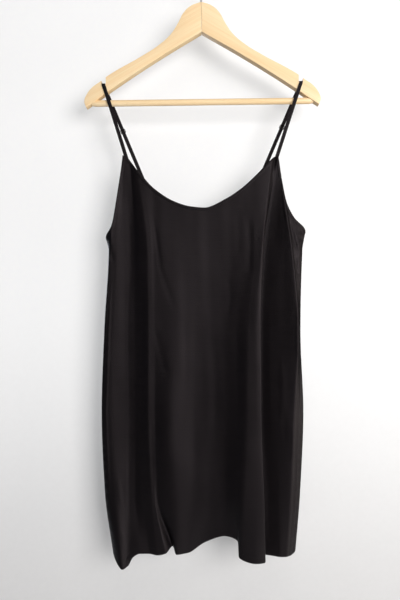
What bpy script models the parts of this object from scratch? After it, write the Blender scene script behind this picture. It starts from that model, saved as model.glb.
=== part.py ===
"""Black slip dress hung by its straps on a wooden clothes hanger.

Metres, +Z up. The front of the dress faces -Y, and +X is to the right of someone who looks at it.
The origin is the top of the inside of the hook, where a rail or a nail carries the hanger.
Tables and sizes are in millimetres, and each point is turned to metres where its mesh is made.
"""
import math
from collections import namedtuple

import bmesh
import bpy
import numpy as np
from mathutils import Matrix, Vector

MM = 0.001
SEAM_GAP = 0.3            # between two pieces that are sewn, glued or threaded together

# ---- driving sizes of the cloth -------------------------------------------------------------
CLOTH = 1.2               # wall of a panel
COLUMNS_PER_FOLD = 3      # grid columns from one fold line to the next
FRONT_ROWS = 27
BACK_ROWS = 20
SEAM_TURN = 2.0           # how squarely a panel turns round into its side seam
SEAM_LIP = 0.1            # share of the first and last fold where the panel stands square to it

# Heights of the five sections between the top edge and the hem.
BUST, WAIST, HIP, THIGH = -540.0, -690.0, -840.0, -990.0

# One row for each fold line of a panel, from the left side seam to the right one. x_ is where the
# line runs at the top edge, at the four sections and at the hem. out_ is how far it stands out
# from the plane of the side seams there. The last two give the height of its two ends.
FOLD_COLUMNS = (
    "name x_top x_bust x_waist x_hip x_thigh x_hem "
    "out_top out_bust out_waist out_hip out_thigh out_hem z_top z_hem")
Fold = namedtuple("Fold", FOLD_COLUMNS)

SEAM_LEFT = Fold("seam_left", -178, -173, -181, -186, -180, -165, 0, 0, 0, 0, -3, -8, -515, -1099)
SEAM_RIGHT = Fold("seam_right", 197, 191, 187, 193, 187, 179, 0, 0, 0, 0, -1, -5, -502, -1099)

FRONT_FOLDS = [
    SEAM_LEFT,
    Fold("turn_left", -165, -167, -175, -178, -172, -158, 15.5, 14, 12.5, 11, 14, 17, -492, -1104),
    Fold("ridge_1", -155, -157, -164, -167, -157, -142.5, 14.5, 13.2, 12.7, 11.5, 19, 36, -437, -1118.5),
    Fold("apex_left_out", -144, -140, -140, -140, -139, -133, 10, 10.6, 9.6, 8.4, 16, 31, -360, -1115),
    Fold("apex_left_in", -138, -132, -134, -133, -131, -124, 10, 10, 9, 7.8, 14.4, 29, -360, -1100),
    Fold("valley_1", -124, -124, -125, -124, -123, -110, 9, 11, 9.6, 8.8, 14.6, 29, -381, -1093),
    Fold("foot_2", -116, -113, -110, -110, -110, -94.5, 9, 14.8, 13.8, 13.4, 18.4, 31.5, -391, -1091.5),
    Fold("ridge_2", -104, -98, -96, -96, -89, -79, 10, 18.8, 19, 18.8, 24.6, 32.5, -405, -1094),
    Fold("lobe_2", -94, -92, -90, -91, -85, -63, 10, 18.4, 18.7, 18.7, 24.4, 31.5, -414, -1092.5),
    Fold("valley_2", -85, -84, -84, -85, -80, -52, 10, 17.4, 18.4, 18.6, 24, 20, -423, -1083.5),
    Fold("ridge_3", -53, -52, -41, -54, -47, -44, 11, 18.4, 21, 25.4, 32.4, 30, -443, -1094.5),
    Fold("ridge_3_end", -20, -5, -8, -9, -12, -23, 12, 17.6, 17.8, 20.8, 29.6, 28, -456, -1092),
    Fold("centre", 8, 20, 16, 16, 12, 8, 13, 17.6, 18.8, 22.8, 30.6, 26, -458, -1073.5),
    Fold("valley_3", 47, 48, 43, 40, 42, 45, 12, 19, 22.8, 27.8, 36, 28, -441, -1061.4),
    Fold("flank_3", 77, 74, 65, 63, 62, 67, 12, 22.6, 27.8, 34.2, 42, 35, -421, -1068.3),
    Fold("shoulder_4", 99, 98, 92, 89, 82, 68.5, 13, 27, 34.8, 42.4, 48, 41, -401, -1092.4),
    Fold("ridge_4", 125, 111, 103, 103, 107.5, 101, 13.5, 29, 36, 43.5, 49, 47, -376, -1102),
    Fold("apex_right_in", 138, 114.5, 107, 107.5, 113.5, 117, 10, 26.5, 33.5, 41, 44, 39, -363, -1102),
    Fold("apex_right_out", 144, 117, 109.5, 110, 117.5, 124.5, 10, 7, 2.6, 2.6, 9, 18, -363, -1101),
    Fold("slope_5", 147, 134, 129, 129, 133, 138, 10, 12.8, 11.4, 12, 15.4, 23, -382, -1101),
    Fold("shelf_5", 148.5, 153, 150, 147, 148, 147, 10, 18, 18.4, 18.8, 20, 25, -392, -1101),
    Fold("ridge_5", 150, 166.5, 174, 167, 163, 156, 10, 20.8, 23.4, 22.4, 22, 25, -403, -1101),
    Fold("turn_right", 174, 179.5, 183, 181, 178, 170, 8, 13.4, 13, 13.6, 13, 12, -477, -1103),
    SEAM_RIGHT,
]

BACK_FOLDS = [
    SEAM_LEFT,
    Fold("turn_left", -163, -165, -172, -177, -170, -156, 8, 11, 12, 12, 15, 18, -503, -1099),
    Fold("ridge_1", -135, -138, -141, -142, -138, -130, 12, 18, 24, 31, 39, 46, -482, -1097),
    Fold("valley_1", -112, -112, -113, -113, -108, -101, 12, 12, 13, 14, 17, 21, -466, -1093),
    Fold("apex_left_out", -94, -91, -89, -86, -82, -76, 12, 16, 22, 29, 38, 47, -449, -1094),
    Fold("apex_left_in", -87, -80, -76, -72, -68, -64, 12, 16, 21, 27, 34, 42, -449, -1093),
    Fold("valley_2", -58, -52, -50, -48, -46, -44, 12, 13, 15, 17, 21, 27, -460, -1089),
    Fold("ridge_3", -20, -18, -16, -14, -12, -12, 12, 16, 20, 28, 38, 49, -466, -1089),
    Fold("valley_3", 20, 24, 26, 28, 31, 33, 12, 12, 15, 20, 28, 38, -466, -1084),
    Fold("ridge_4", 58, 62, 64, 66, 69, 72, 12, 16, 23, 32, 42, 53, -460, -1088),
    Fold("apex_right_in", 88, 88, 90, 93, 94, 95, 12, 13, 16, 18, 22, 27, -449, -1089),
    Fold("apex_right_out", 95, 99, 102, 106, 107, 106, 12, 15, 19, 24, 30, 36, -449, -1093),
    Fold("ridge_5", 122, 124, 126, 129, 128, 123, 12, 19, 25, 32, 38, 45, -470, -1095),
    Fold("valley_5", 150, 149, 150, 154, 151, 144, 11, 12, 14, 15, 18, 21, -486, -1097),
    Fold("turn_right", 182, 178, 176, 182, 176, 165, 8, 11, 11, 11, 13, 16, -499, -1099),
    SEAM_RIGHT,
]

# ---- driving sizes of the straps and their hardware -----------------------------------------
STRAP_WIDTH = 6.0
STRAP_THICK = 1.2
WIRE = 0.6                # radius of the slider's and the loop's wire
WIRE_BEND = 1.2           # radius of their corners
SLIDER_PITCH = 3.6        # from the slider's middle bar to its outer bars
LOOP_HEIGHT = 5.2         # between the two straight bars of the loop
WIRE_TURN = WIRE + SEAM_GAP + STRAP_THICK / 2     # bend of a ribbon round a wire
STRAP_CLEAR = WIRE_TURN + 0.1                     # step of the strap over and under a bar
ARM_CORNER = 1.5          # bend of the strap over the edges of the notch
BACKWARD = Vector((1, -1, 1))
TAB_LEG = 6.0             # length of the tab that lies on the back panel
TAB_EASE = 0.5            # more room there, because the panel leans away below its point

# ---- driving sizes of the hanger ------------------------------------------------------------
HANGER_TILT = math.radians(0.75)    # its right end hangs a little high
ARM_THICK = 14.0
ARM_ROUNDING = 2.0
NOTCH_X, NOTCH_Z = 184.5, -224.6    # middle of a notch's floor, before the tilt
NOTCH_HALF, NOTCH_HEIGHT = 4.2, 30.0
BAR_RADIUS, BAR_Z, BAR_END = 5.8, -257.9, 208.0
WIRE_HOOK = 1.75                    # radius of the hook's wire
HOOK_RADIUS = 22.0                  # its bow, at the middle of the wire
HOOK_TIP_ANGLE = math.radians(205)
HOOK_LEAVE_ANGLE = math.radians(-40)
NECK_RADIUS = 20.0
HOOK_HOLE = 60.0                    # length of the drill that makes room for it
HOOK_FOOT = -94.0                   # its lower end, inside the wood

# Right arm, from the joint in the middle along its upper edge to the tip, and back below.
# A corner point has straight sides, and the others lie on a smooth curve.
OutlinePoint = namedtuple("OutlinePoint", "x z corner")
ARM_OUTLINE = [
    OutlinePoint(SEAM_GAP / 2, -72.8, True),
    OutlinePoint(20.4, -80.4, False),
    OutlinePoint(33.6, -93.0, False),
    OutlinePoint(44.6, -113.0, False),
    OutlinePoint(57.0, -131.5, False),
    OutlinePoint(80.4, -152.5, False),
    OutlinePoint(112.0, -172.5, False),
    OutlinePoint(176.0, -208.5, False),
    OutlinePoint(192.5, -220.5, False),
    OutlinePoint(207.0, -231.0, False),
    OutlinePoint(216.0, -242.5, False),
    OutlinePoint(221.0, -256.0, False),
    OutlinePoint(218.0, -267.0, True),
    OutlinePoint(203.0, -257.0, False),
    OutlinePoint(172.0, -235.0, False),
    OutlinePoint(80.4, -175.8, False),
    OutlinePoint(SEAM_GAP / 2, -128.3, True),
]

# ---- colours and finishes -------------------------------------------------------------------
CREPE = ("black_crepe", (0.012, 0.011, 0.012), 0.62, 0.0)
SLIDER_FINISH = ("black_enamel", (0.01, 0.01, 0.011), 0.35, 0.0)
BEECH = ("lacquered_beech", (0.86, 0.62, 0.36), 0.38, 0.0)
STEEL = ("bright_steel", (0.62, 0.62, 0.64), 0.25, 1.0)


def clear_scene():
    for item in list(bpy.data.objects):
        bpy.data.objects.remove(item, do_unlink=True)


def new_collection(name):
    group = bpy.data.collections.new(name)
    bpy.context.scene.collection.children.link(group)
    return group


def add_object(name, data, group):
    item = bpy.data.objects.new(name, data)
    group.objects.link(item)
    return item


def give_material(item, finish):
    """A new Principled material, named for its piece and its finish."""
    name, colour, roughness, metallic = finish
    material = bpy.data.materials.new(f"{item.name}_{name}")
    material.use_nodes = True
    shader = material.node_tree.nodes["Principled BSDF"]
    shader.inputs["Base Color"].default_value = (*colour, 1.0)
    shader.inputs["Roughness"].default_value = roughness
    shader.inputs["Metallic"].default_value = metallic
    item.data.materials.clear()
    item.data.materials.append(material)


# ---- curves through a few values ------------------------------------------------------------
def smooth_slopes(places, values, end_turn):
    """Slopes that add no rise or dip of their own between the values."""
    chords = np.diff(values) / np.diff(places)
    before, after = chords[:-1], chords[1:]
    slopes = np.zeros(len(values))
    same_way = before * after > 0
    slopes[1:-1][same_way] = 2 / (1 / before[same_way] + 1 / after[same_way])
    slopes[0], slopes[-1] = chords[0] * end_turn, chords[-1] * end_turn
    return slopes


def smooth_curve(places, values, at, end_turn=1.0):
    """The smooth curve through the values, read at the places in `at`."""
    places = np.asarray(places, float)
    values = np.asarray(values, float)
    slopes = smooth_slopes(places, values, end_turn)
    k = np.clip(np.searchsorted(places, at, side="right") - 1, 0, len(places) - 2)
    step = places[k + 1] - places[k]
    t = (at - places[k]) / step
    from_left = (1 + 2 * t) * values[k] + t * step * slopes[k]
    from_right = (3 - 2 * t) * values[k + 1] - (1 - t) * step * slopes[k + 1]
    return (1 - t) ** 2 * from_left + t ** 2 * from_right


# ---- panels ---------------------------------------------------------------------------------
def fold_line(fold, heights):
    """x and out of one fold line at the given heights, from its top end to the hem."""
    places = -np.array([fold.z_top, BUST, WAIST, HIP, THIGH, fold.z_hem])
    x = [fold.x_top, fold.x_bust, fold.x_waist, fold.x_hip, fold.x_thigh, fold.x_hem]
    out = [fold.out_top, fold.out_bust, fold.out_waist, fold.out_hip, fold.out_thigh, fold.out_hem]
    return smooth_curve(places, x, -heights), smooth_curve(places, out, -heights)


def top_edge(folds, lines, at):
    """Height of the top edge. It breaks at the two points that the straps hold."""
    heights = np.array([fold.z_top for fold in folds], float)
    points = [i for i, fold in enumerate(folds) if fold.name.startswith("apex")]
    breaks = [0, *points, len(folds) - 1]
    edge = np.empty(len(at))
    for first, last in zip(breaks[:-1], breaks[1:]):
        inside = (at >= first) & (at <= last)
        part = slice(first, last + 1)
        edge[inside] = smooth_curve(lines[part], heights[part], at[inside])
    return edge


def panel_points(folds, rows, facing, seam_shift=0.0):
    """Grid of points [row][column] on a panel's outer face, from the hem up."""
    lines = np.arange(len(folds), dtype=float)
    columns = (len(folds) - 1) * COLUMNS_PER_FOLD
    at = np.linspace(0, len(folds) - 1, columns + 1)
    at = np.concatenate(([0, SEAM_LIP], at[1:-1], [at[-1] - SEAM_LIP, at[-1]]))
    top = top_edge(folds, lines, at)
    hem = smooth_curve(lines, [fold.z_hem for fold in folds], at)
    points = np.empty((rows + 1, len(at), 3))
    for row, share in enumerate(np.linspace(0, 1, rows + 1)):
        read = [fold_line(fold, fold.z_hem + (fold.z_top - fold.z_hem) * share) for fold in folds]
        x = [line[0] for line in read]
        out = np.array([line[1] for line in read], float)
        # The side seams belong to both panels, so they keep their place on either face.
        out[[0, -1]] *= -facing
        points[row, :, 0] = smooth_curve(lines, x, at, end_turn=0.0)
        points[row, :, 1] = facing * smooth_curve(lines, out, at, end_turn=SEAM_TURN) + seam_shift
        points[row, :, 2] = hem + (top - hem) * share
    # Next to a seam the cloth runs straight out of it, so the two walls meet face to face.
    for lip, seam in ((1, 0), (-2, -1)):
        points[:, lip, 0], points[:, lip, 2] = points[:, seam, 0], points[:, seam, 2]
    return points


def cloth_panel(name, points, facing, group):
    """A grid laid on the points, with the cloth's wall to its inside."""
    rows, columns = points.shape[0] - 1, points.shape[1] - 1
    grid = bmesh.new()
    bmesh.ops.create_grid(grid, x_segments=columns, y_segments=rows, size=1.0)
    for vertex in grid.verts:
        column = round((vertex.co.x + 1) / 2 * columns)
        row = round((vertex.co.y + 1) / 2 * rows)
        if facing > 0:
            column = columns - column
        vertex.co = Vector(points[row, column]) * MM
    mesh = bpy.data.meshes.new(name)
    grid.to_mesh(mesh)
    grid.free()
    mesh.shade_smooth()
    item = add_object(name, mesh, group)
    wall = item.modifiers.new("cloth_wall", "SOLIDIFY")
    wall.thickness = CLOTH * MM
    wall.offset = -1.0
    wall.use_quality_normals = True
    give_material(item, CREPE)
    return item


# ---- ribbons --------------------------------------------------------------------------------
Stop = namedtuple("Stop", "place side")      # a point of a ribbon, and the way its face looks


def ribbon_section(stop, along):
    """Eight points round a ribbon: flat faces and rounded edges."""
    across = along.cross(stop.side).normalized()
    up = across.cross(along).normalized()
    half, thick = STRAP_WIDTH / 2, STRAP_THICK / 2
    shape = [(-half, -0.45), (-half + 0.5, -1), (half - 0.5, -1), (half, -0.45),
             (half, 0.45), (half - 0.5, 1), (-half + 0.5, 1), (-half, 0.45)]
    return [stop.place + across * w + up * (n * thick) for w, n in shape]


def ribbon(name, stops, group):
    """A ribbon lofted through its stops, closed at both ends."""
    mesh = bmesh.new()
    rings = []
    for i, stop in enumerate(stops):
        before, after = stops[max(i - 1, 0)].place, stops[min(i + 1, len(stops) - 1)].place
        section = ribbon_section(stop, (after - before).normalized())
        rings.append([mesh.verts.new(point * MM) for point in section])
    for ring, following in zip(rings[:-1], rings[1:]):
        for i in range(len(ring)):
            j = (i + 1) % len(ring)
            mesh.faces.new([ring[i], ring[j], following[j], following[i]])
    mesh.faces.new(rings[0])
    mesh.faces.new(rings[-1])
    bmesh.ops.recalc_face_normals(mesh, faces=mesh.faces)
    data = bpy.data.meshes.new(name)
    mesh.to_mesh(data)
    mesh.free()
    data.set_sharp_from_angle(angle=math.radians(50))
    item = add_object(name, data, group)
    give_material(item, CREPE)
    return item


def tilted(x, y, z):
    """A point of the hanger after it has swung by its tilt about the hook."""
    turn = Matrix.Rotation(-HANGER_TILT, 3, "Y")
    return turn @ Vector((x, y, z))


class BackStrap:
    """The straight line from the notch to the back panel, with places measured along it."""

    def __init__(self, notch_exit, panel_point):
        self.start = notch_exit
        self.along = (panel_point - notch_exit).normalized()
        self.length = (panel_point - notch_exit).length
        across = self.along.cross(Vector((0, 1, 0))).normalized()
        self.out = across.cross(self.along).normalized()

    def at(self, down, out=0.0):
        return self.start + self.along * down + self.out * out

    def stop(self, down, out, side=1.0):
        return Stop(self.at(down, out), self.out * side)


def round_bar(line, middle, steps=6):
    """Stops of a half turn under a bar at `middle`, from its outer side to its inner one."""
    stops = []
    for i in range(1, steps):
        angle = math.pi * i / steps
        out, down = math.cos(angle), math.sin(angle)
        place = line.at(middle + down * WIRE_TURN, out * WIRE_TURN)
        stops.append(Stop(place, line.along * down + line.out * out))
    return stops


def over_arm(side, steps=4):
    """Stops over the notch's floor, from the front of the arm to its back."""
    front = -(ARM_THICK / 2 + SEAM_GAP + STRAP_THICK / 2)
    floor = NOTCH_Z + SEAM_GAP + STRAP_THICK / 2
    half = []
    for i in range(steps + 1):
        angle = math.pi / 2 * i / steps
        y = front + ARM_CORNER * (1 - math.cos(angle))
        z = floor - ARM_CORNER * (1 - math.sin(angle))
        face = Vector((0, -math.cos(angle), math.sin(angle)))
        half.append(Stop(tilted(side * NOTCH_X, y, z), face))
    other_half = [Stop(stop.place * BACKWARD, stop.side * BACKWARD) for stop in reversed(half)]
    return half + other_half


def through_slider(line, at):
    """Stops under the slider's outer bars and over its middle one. `at` is the middle bar."""
    pitch = SLIDER_PITCH
    places = ((at - pitch - 3, -0.8), (at - pitch, -1), (at - pitch / 2, 0), (at, 1),
              (at + pitch / 2, 0), (at + pitch, -1), (at + pitch + 4, -0.7))
    return [line.stop(down, share * STRAP_CLEAR) for down, share in places]


def back_to_slider(line, loop_at, slider_at):
    """Stops of the strap's end, which runs up inside itself and stops at the middle bar."""
    pitch = SLIDER_PITCH
    under = STRAP_CLEAR + STRAP_THICK + 2 * SEAM_GAP
    places = ((loop_at, WIRE_TURN), (loop_at - 12, WIRE_TURN), (slider_at + 22, WIRE_TURN + 0.6),
              (slider_at + pitch + 5, under), (slider_at + pitch, under),
              (slider_at + pitch / 2, STRAP_CLEAR + 1.6), (slider_at - 0.4, STRAP_CLEAR + 0.2))
    return [line.stop(down, -depth, side=-1.0) for down, depth in places]


def strap_stops(side, front_point, line, slider_at, loop_at):
    """A strap from behind the front panel, over the arm, through its slider and its loop."""
    over = over_arm(side)
    forward = Vector((0, -1, 0))
    rise = [front_point.lerp(over[0].place, share) for share in (0, 0.08, 0.35, 0.7, 0.95)]
    stops = [Stop(place, forward) for place in rise] + over
    stops += [line.stop(down, 0) for down in (6, 30, slider_at - 14)]
    stops += through_slider(line, slider_at)
    stops += [line.stop(slider_at + 20, WIRE_TURN * 0.8), line.stop(loop_at - 12, WIRE_TURN),
              line.stop(loop_at, WIRE_TURN)]
    stops += round_bar(line, loop_at)
    stops += back_to_slider(line, loop_at, slider_at)
    return stops


def wire_shape(name, paths, finish, group):
    """Closed or open runs of round wire, joined into one solid."""
    pieces = []
    for number, (path, closed, radius) in enumerate(paths):
        curve = bpy.data.curves.new(f"{name}_{number}", "CURVE")
        curve.dimensions = "3D"
        curve.bevel_depth = radius * MM
        curve.bevel_resolution = 1
        curve.use_fill_caps = not closed
        spline = curve.splines.new("POLY")
        spline.points.add(len(path) - 1)
        for point, place in zip(spline.points, path):
            point.co = (*(place * MM), 1.0)
        spline.use_cyclic_u = closed
        pieces.append(solid_from_curve(f"{name}_{number}", curve, group))
    whole = pieces[0]
    whole.name = name
    for extra in pieces[1:]:
        boolean(whole, extra, "UNION")
        apply_modifiers(whole)
        bpy.data.objects.remove(extra, do_unlink=True)
    whole.data.name = name
    give_material(whole, finish)
    return whole


def rounded_frame(line, middle, half_width, half_height, steps=3):
    """A flat rectangle of wire round `middle`, with round corners."""
    across = line.along.cross(line.out).normalized()
    path = []
    for corner in range(4):
        w_side, down_side = ((1, 1), (-1, 1), (-1, -1), (1, -1))[corner]
        for i in range(steps + 1):
            angle = math.pi / 2 * (corner + i / steps)
            w = w_side * (half_width - WIRE_BEND) + WIRE_BEND * math.cos(angle)
            down = down_side * (half_height - WIRE_BEND) + WIRE_BEND * math.sin(angle)
            path.append(line.at(middle + down) + across * w)
    return path


# ---- mesh helpers ---------------------------------------------------------------------------
def solid_from_curve(name, curve, group):
    """The mesh of a curve, with its caps welded on."""
    holder = add_object(f"{name}_curve", curve, group)
    bpy.context.view_layer.update()
    evaluated = holder.evaluated_get(bpy.context.evaluated_depsgraph_get())
    mesh = bpy.data.meshes.new_from_object(evaluated)
    place = holder.matrix_world.copy()
    bpy.data.objects.remove(holder, do_unlink=True)
    weld = bmesh.new()
    weld.from_mesh(mesh)
    bmesh.ops.remove_doubles(weld, verts=weld.verts, dist=1e-5)
    bmesh.ops.recalc_face_normals(weld, faces=weld.faces)
    weld.to_mesh(mesh)
    weld.free()
    item = add_object(name, mesh, group)
    item.matrix_world = place
    return item


def boolean(item, cutter, operation):
    change = item.modifiers.new(f"{operation.lower()}_{cutter.name}", "BOOLEAN")
    change.operation = operation
    change.solver = "EXACT"
    change.object = cutter
    return change


def apply_modifiers(item):
    """Keep the evaluated mesh and drop the modifiers that made it."""
    bpy.context.view_layer.update()
    evaluated = item.evaluated_get(bpy.context.evaluated_depsgraph_get())
    mesh = bpy.data.meshes.new_from_object(evaluated)
    item.modifiers.clear()
    item.data = mesh


def cylinder(name, radius, length, place, direction, group, sides=24):
    mesh = bmesh.new()
    bmesh.ops.create_cone(mesh, cap_ends=True, segments=sides, radius1=radius * MM,
                          radius2=radius * MM, depth=length * MM)
    data = bpy.data.meshes.new(name)
    mesh.to_mesh(data)
    mesh.free()
    data.shade_smooth()
    data.set_sharp_from_angle(angle=math.radians(40))
    item = add_object(name, data, group)
    item.rotation_mode = "QUATERNION"
    item.rotation_quaternion = Vector((0, 0, 1)).rotation_difference(Vector(direction))
    item.location = Vector(place) * MM
    return item


# ---- hanger ---------------------------------------------------------------------------------
def arm_curve(name, side):
    """The flat outline of an arm, with half its thickness to each side."""
    curve = bpy.data.curves.new(name, "CURVE")
    curve.dimensions = "2D"
    curve.fill_mode = "BOTH"
    curve.extrude = ARM_THICK / 2 * MM
    curve.resolution_u = 4
    spline = curve.splines.new("BEZIER")
    spline.bezier_points.add(len(ARM_OUTLINE) - 1)
    for point, row in zip(spline.bezier_points, ARM_OUTLINE):
        point.co = (side * row.x * MM, row.z * MM, 0)
        kind = "VECTOR" if row.corner else "AUTO"
        point.handle_left_type = kind
        point.handle_right_type = kind
    spline.use_cyclic_u = True
    return curve


def notch_cutter(name, side, hanger, group):
    """A block that clears the strap's notch from its floor up."""
    block = bmesh.new()
    size = Vector((2 * NOTCH_HALF, 2 * ARM_THICK, NOTCH_HEIGHT)) * MM
    bmesh.ops.create_cube(block, size=1.0, matrix=Matrix.Diagonal((*size, 1.0)))
    data = bpy.data.meshes.new(name)
    block.to_mesh(data)
    block.free()
    item = add_object(name, data, group)
    item.location = Vector((side * NOTCH_X, 0, NOTCH_Z + NOTCH_HEIGHT / 2)) * MM
    hang_cutter(item, hanger)
    return item


def hang_cutter(item, hanger):
    """A cutter moves with the hanger, and is only a guide to look at."""
    item.parent = hanger
    item.hide_render = True
    item.display_type = "WIRE"


def hanger_arm(name, side, hanger, cutters, cutter_group, group):
    item = solid_from_curve(name, arm_curve(name, side), group)
    # The curve lies flat in its own plane, and its up is the hanger's up.
    item.data.transform(Matrix.Rotation(math.pi / 2, 4, "X"))
    item.data.update()
    item.parent = hanger
    rounding = item.modifiers.new("rounded_edges", "BEVEL")
    rounding.width = ARM_ROUNDING * MM
    rounding.segments = 2
    rounding.limit_method = "ANGLE"
    rounding.angle_limit = math.radians(70)
    notch = notch_cutter(f"{name}_notch_cutter", side, hanger, cutter_group)
    for cutter in (notch, *cutters):
        boolean(item, cutter, "DIFFERENCE")
    item.data.shade_smooth()
    item.data.set_sharp_from_angle(angle=math.radians(35))
    give_material(item, BEECH)
    return item


def arc(middle, radius, first, last, steps):
    """Points of a round stretch in the hanger's plane, between two angles."""
    angles = [first + (last - first) * i / steps for i in range(steps + 1)]
    return [middle + radius * Vector((math.cos(a), 0, math.sin(a))) for a in angles]


def hook_path():
    """Centre line of the hook, from its open tip over the top and down into the wood."""
    middle = Vector((0, 0, WIRE_HOOK - HOOK_RADIUS))
    path = arc(middle, HOOK_RADIUS, HOOK_TIP_ANGLE, HOOK_LEAVE_ANGLE, 18)
    # From the bow the wire runs straight to its neck, and bends there until it hangs plumb.
    heading = Vector((math.sin(HOOK_LEAVE_ANGLE), 0, -math.cos(HOOK_LEAVE_ANGLE)))
    side_step = NECK_RADIUS * (1 - math.cos(HOOK_LEAVE_ANGLE))
    bend_start = path[-1] + heading * ((path[-1].x - side_step) / -heading.x)
    bend_drop = NECK_RADIUS * math.sin(HOOK_LEAVE_ANGLE)
    bend_middle = Vector((NECK_RADIUS, 0, bend_start.z + bend_drop))
    path += arc(bend_middle, NECK_RADIUS, math.pi + HOOK_LEAVE_ANGLE, math.pi, 5)
    path.append(Vector((0, 0, HOOK_FOOT)))
    return path


def hanger_hook(hanger, group):
    curve = bpy.data.curves.new("hook", "CURVE")
    curve.dimensions = "3D"
    curve.bevel_depth = WIRE_HOOK * MM
    curve.bevel_resolution = 2
    curve.use_fill_caps = True
    path = hook_path()
    spline = curve.splines.new("POLY")
    spline.points.add(len(path) - 1)
    for point, place in zip(spline.points, path):
        point.co = (*(place * MM), 1.0)
    item = add_object("hook", curve, group)
    item.parent = hanger
    give_material(item, STEEL)
    return item


def build_hanger(group, cutter_group):
    hanger = add_object("hanger_tilt", None, group)
    hanger.rotation_euler = (0, -HANGER_TILT, 0)
    bar_room = cylinder("bar_socket_cutter", BAR_RADIUS + SEAM_GAP, 2 * (BAR_END + SEAM_GAP),
                        (0, 0, BAR_Z), (1, 0, 0), cutter_group)
    hook_room = cylinder("hook_hole_cutter", WIRE_HOOK + SEAM_GAP, HOOK_HOLE,
                         (0, 0, HOOK_FOOT - SEAM_GAP + HOOK_HOLE / 2), (0, 0, 1), cutter_group)
    for cutter in (bar_room, hook_room):
        hang_cutter(cutter, hanger)
    for name, side in (("hanger_arm_left", -1), ("hanger_arm_right", 1)):
        hanger_arm(name, side, hanger, (bar_room, hook_room), cutter_group, group)
    bar = cylinder("trouser_bar", BAR_RADIUS, 2 * BAR_END, (0, 0, BAR_Z), (1, 0, 0), group)
    bar.parent = hanger
    give_material(bar, BEECH)
    hanger_hook(hanger, group)


# ---- straps ---------------------------------------------------------------------------------
StrapPlan = namedtuple("StrapPlan", "name side front_x front_z back_x back_z slider_z")
STRAP_PLANS = [
    StrapPlan("left", -1, -137.8, -371.0, -90.5, -449.0, -310.0),
    StrapPlan("right", 1, 138.6, -374.0, 91.5, -449.0, -302.0),
]
BACK_MIDDLE = 12.0 - CLOTH / 2      # middle of the back panel's wall at its top edge


def build_strap(plan, group):
    front_y = -(10.0 - CLOTH - SEAM_GAP - STRAP_THICK / 2)
    front_point = Vector((plan.front_x, front_y, plan.front_z))
    exit_y = ARM_THICK / 2 + SEAM_GAP + STRAP_THICK / 2
    notch_exit = tilted(plan.side * NOTCH_X, exit_y, NOTCH_Z - 2.0)
    line = BackStrap(notch_exit, Vector((plan.back_x, BACK_MIDDLE, plan.back_z)))
    slider_at = (notch_exit.z - plan.slider_z) / -line.along.z
    wrap = WIRE + SEAM_GAP + STRAP_THICK
    loop_low = line.length - wrap - 0.6
    loop_middle = loop_low - LOOP_HEIGHT / 2
    loop_top = loop_low - LOOP_HEIGHT
    ribbon(f"strap_{plan.name}", strap_stops(plan.side, front_point, line, slider_at, loop_top), group)
    half_width = STRAP_WIDTH / 2 + SEAM_GAP + WIRE
    frame = rounded_frame(line, slider_at, half_width, SLIDER_PITCH)
    across = line.along.cross(line.out).normalized()
    bar_half = half_width - WIRE / 2
    middle_bar = [line.at(slider_at) + across * w for w in (-bar_half, bar_half)]
    runs = [(frame, True, WIRE), (middle_bar, False, WIRE * 0.8)]
    wire_shape(f"slider_{plan.name}", runs, SLIDER_FINISH, group)
    loop = rounded_frame(line, loop_middle, half_width, LOOP_HEIGHT / 2)
    wire_shape(f"loop_{plan.name}", [(loop, True, WIRE)], SLIDER_FINISH, group)
    tab = tab_stops(line, loop_low)
    ribbon(f"loop_tab_{plan.name}", tab, group)


def tab_stops(line, bar_at):
    """The tab that holds the loop: down both faces of the back panel's point."""
    leg = CLOTH / 2 + SEAM_GAP + STRAP_THICK / 2 + TAB_EASE
    places = ((line.length + TAB_LEG, leg), (line.length, leg), (bar_at + 0.5, WIRE_TURN))
    outer = [line.stop(down, out) for down, out in places]
    inner = [line.stop(down, -out, side=-1.0) for down, out in reversed(places)]
    over = []
    for i in range(1, 6):
        angle = math.pi * i / 6
        out, up = math.cos(angle), math.sin(angle)
        place = line.at(bar_at - up * WIRE_TURN, out * WIRE_TURN)
        over.append(Stop(place, line.out * out - line.along * up))
    return outer + over + inner


def main():
    clear_scene()
    dress = new_collection("slip_dress_on_hanger")
    cutters = new_collection("cutters")
    front = panel_points(FRONT_FOLDS, FRONT_ROWS, -1)
    cloth_panel("front_panel", front, -1, dress)
    back = panel_points(BACK_FOLDS, BACK_ROWS, 1, seam_shift=SEAM_GAP)
    cloth_panel("back_panel", back, 1, dress)
    build_hanger(dress, cutters)
    for plan in STRAP_PLANS:
        build_strap(plan, dress)


main()
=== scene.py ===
# %% [markdown]
# # A black slip dress on a wooden clothes hanger
#
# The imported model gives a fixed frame: solids at their real size and place. This script gives
# that frame its looks. Each solid is replaced by a finer piece on the same lines, such as a thin
# shell of crepe for a panel that the solid draws as a thick wall.
#
# Sizes are in millimetres, as a dressmaker would note them, and become metres where a mesh is
# made. +Z is up, the front of the dress faces -Y, and the origin is the top of the inside of the
# hanger's hook.

# %% Load the frame
import math
from collections import namedtuple
from functools import cached_property

import bmesh
import bpy
import numpy as np
from mathutils import Matrix, Vector
from mathutils.bvhtree import BVHTree


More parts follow.
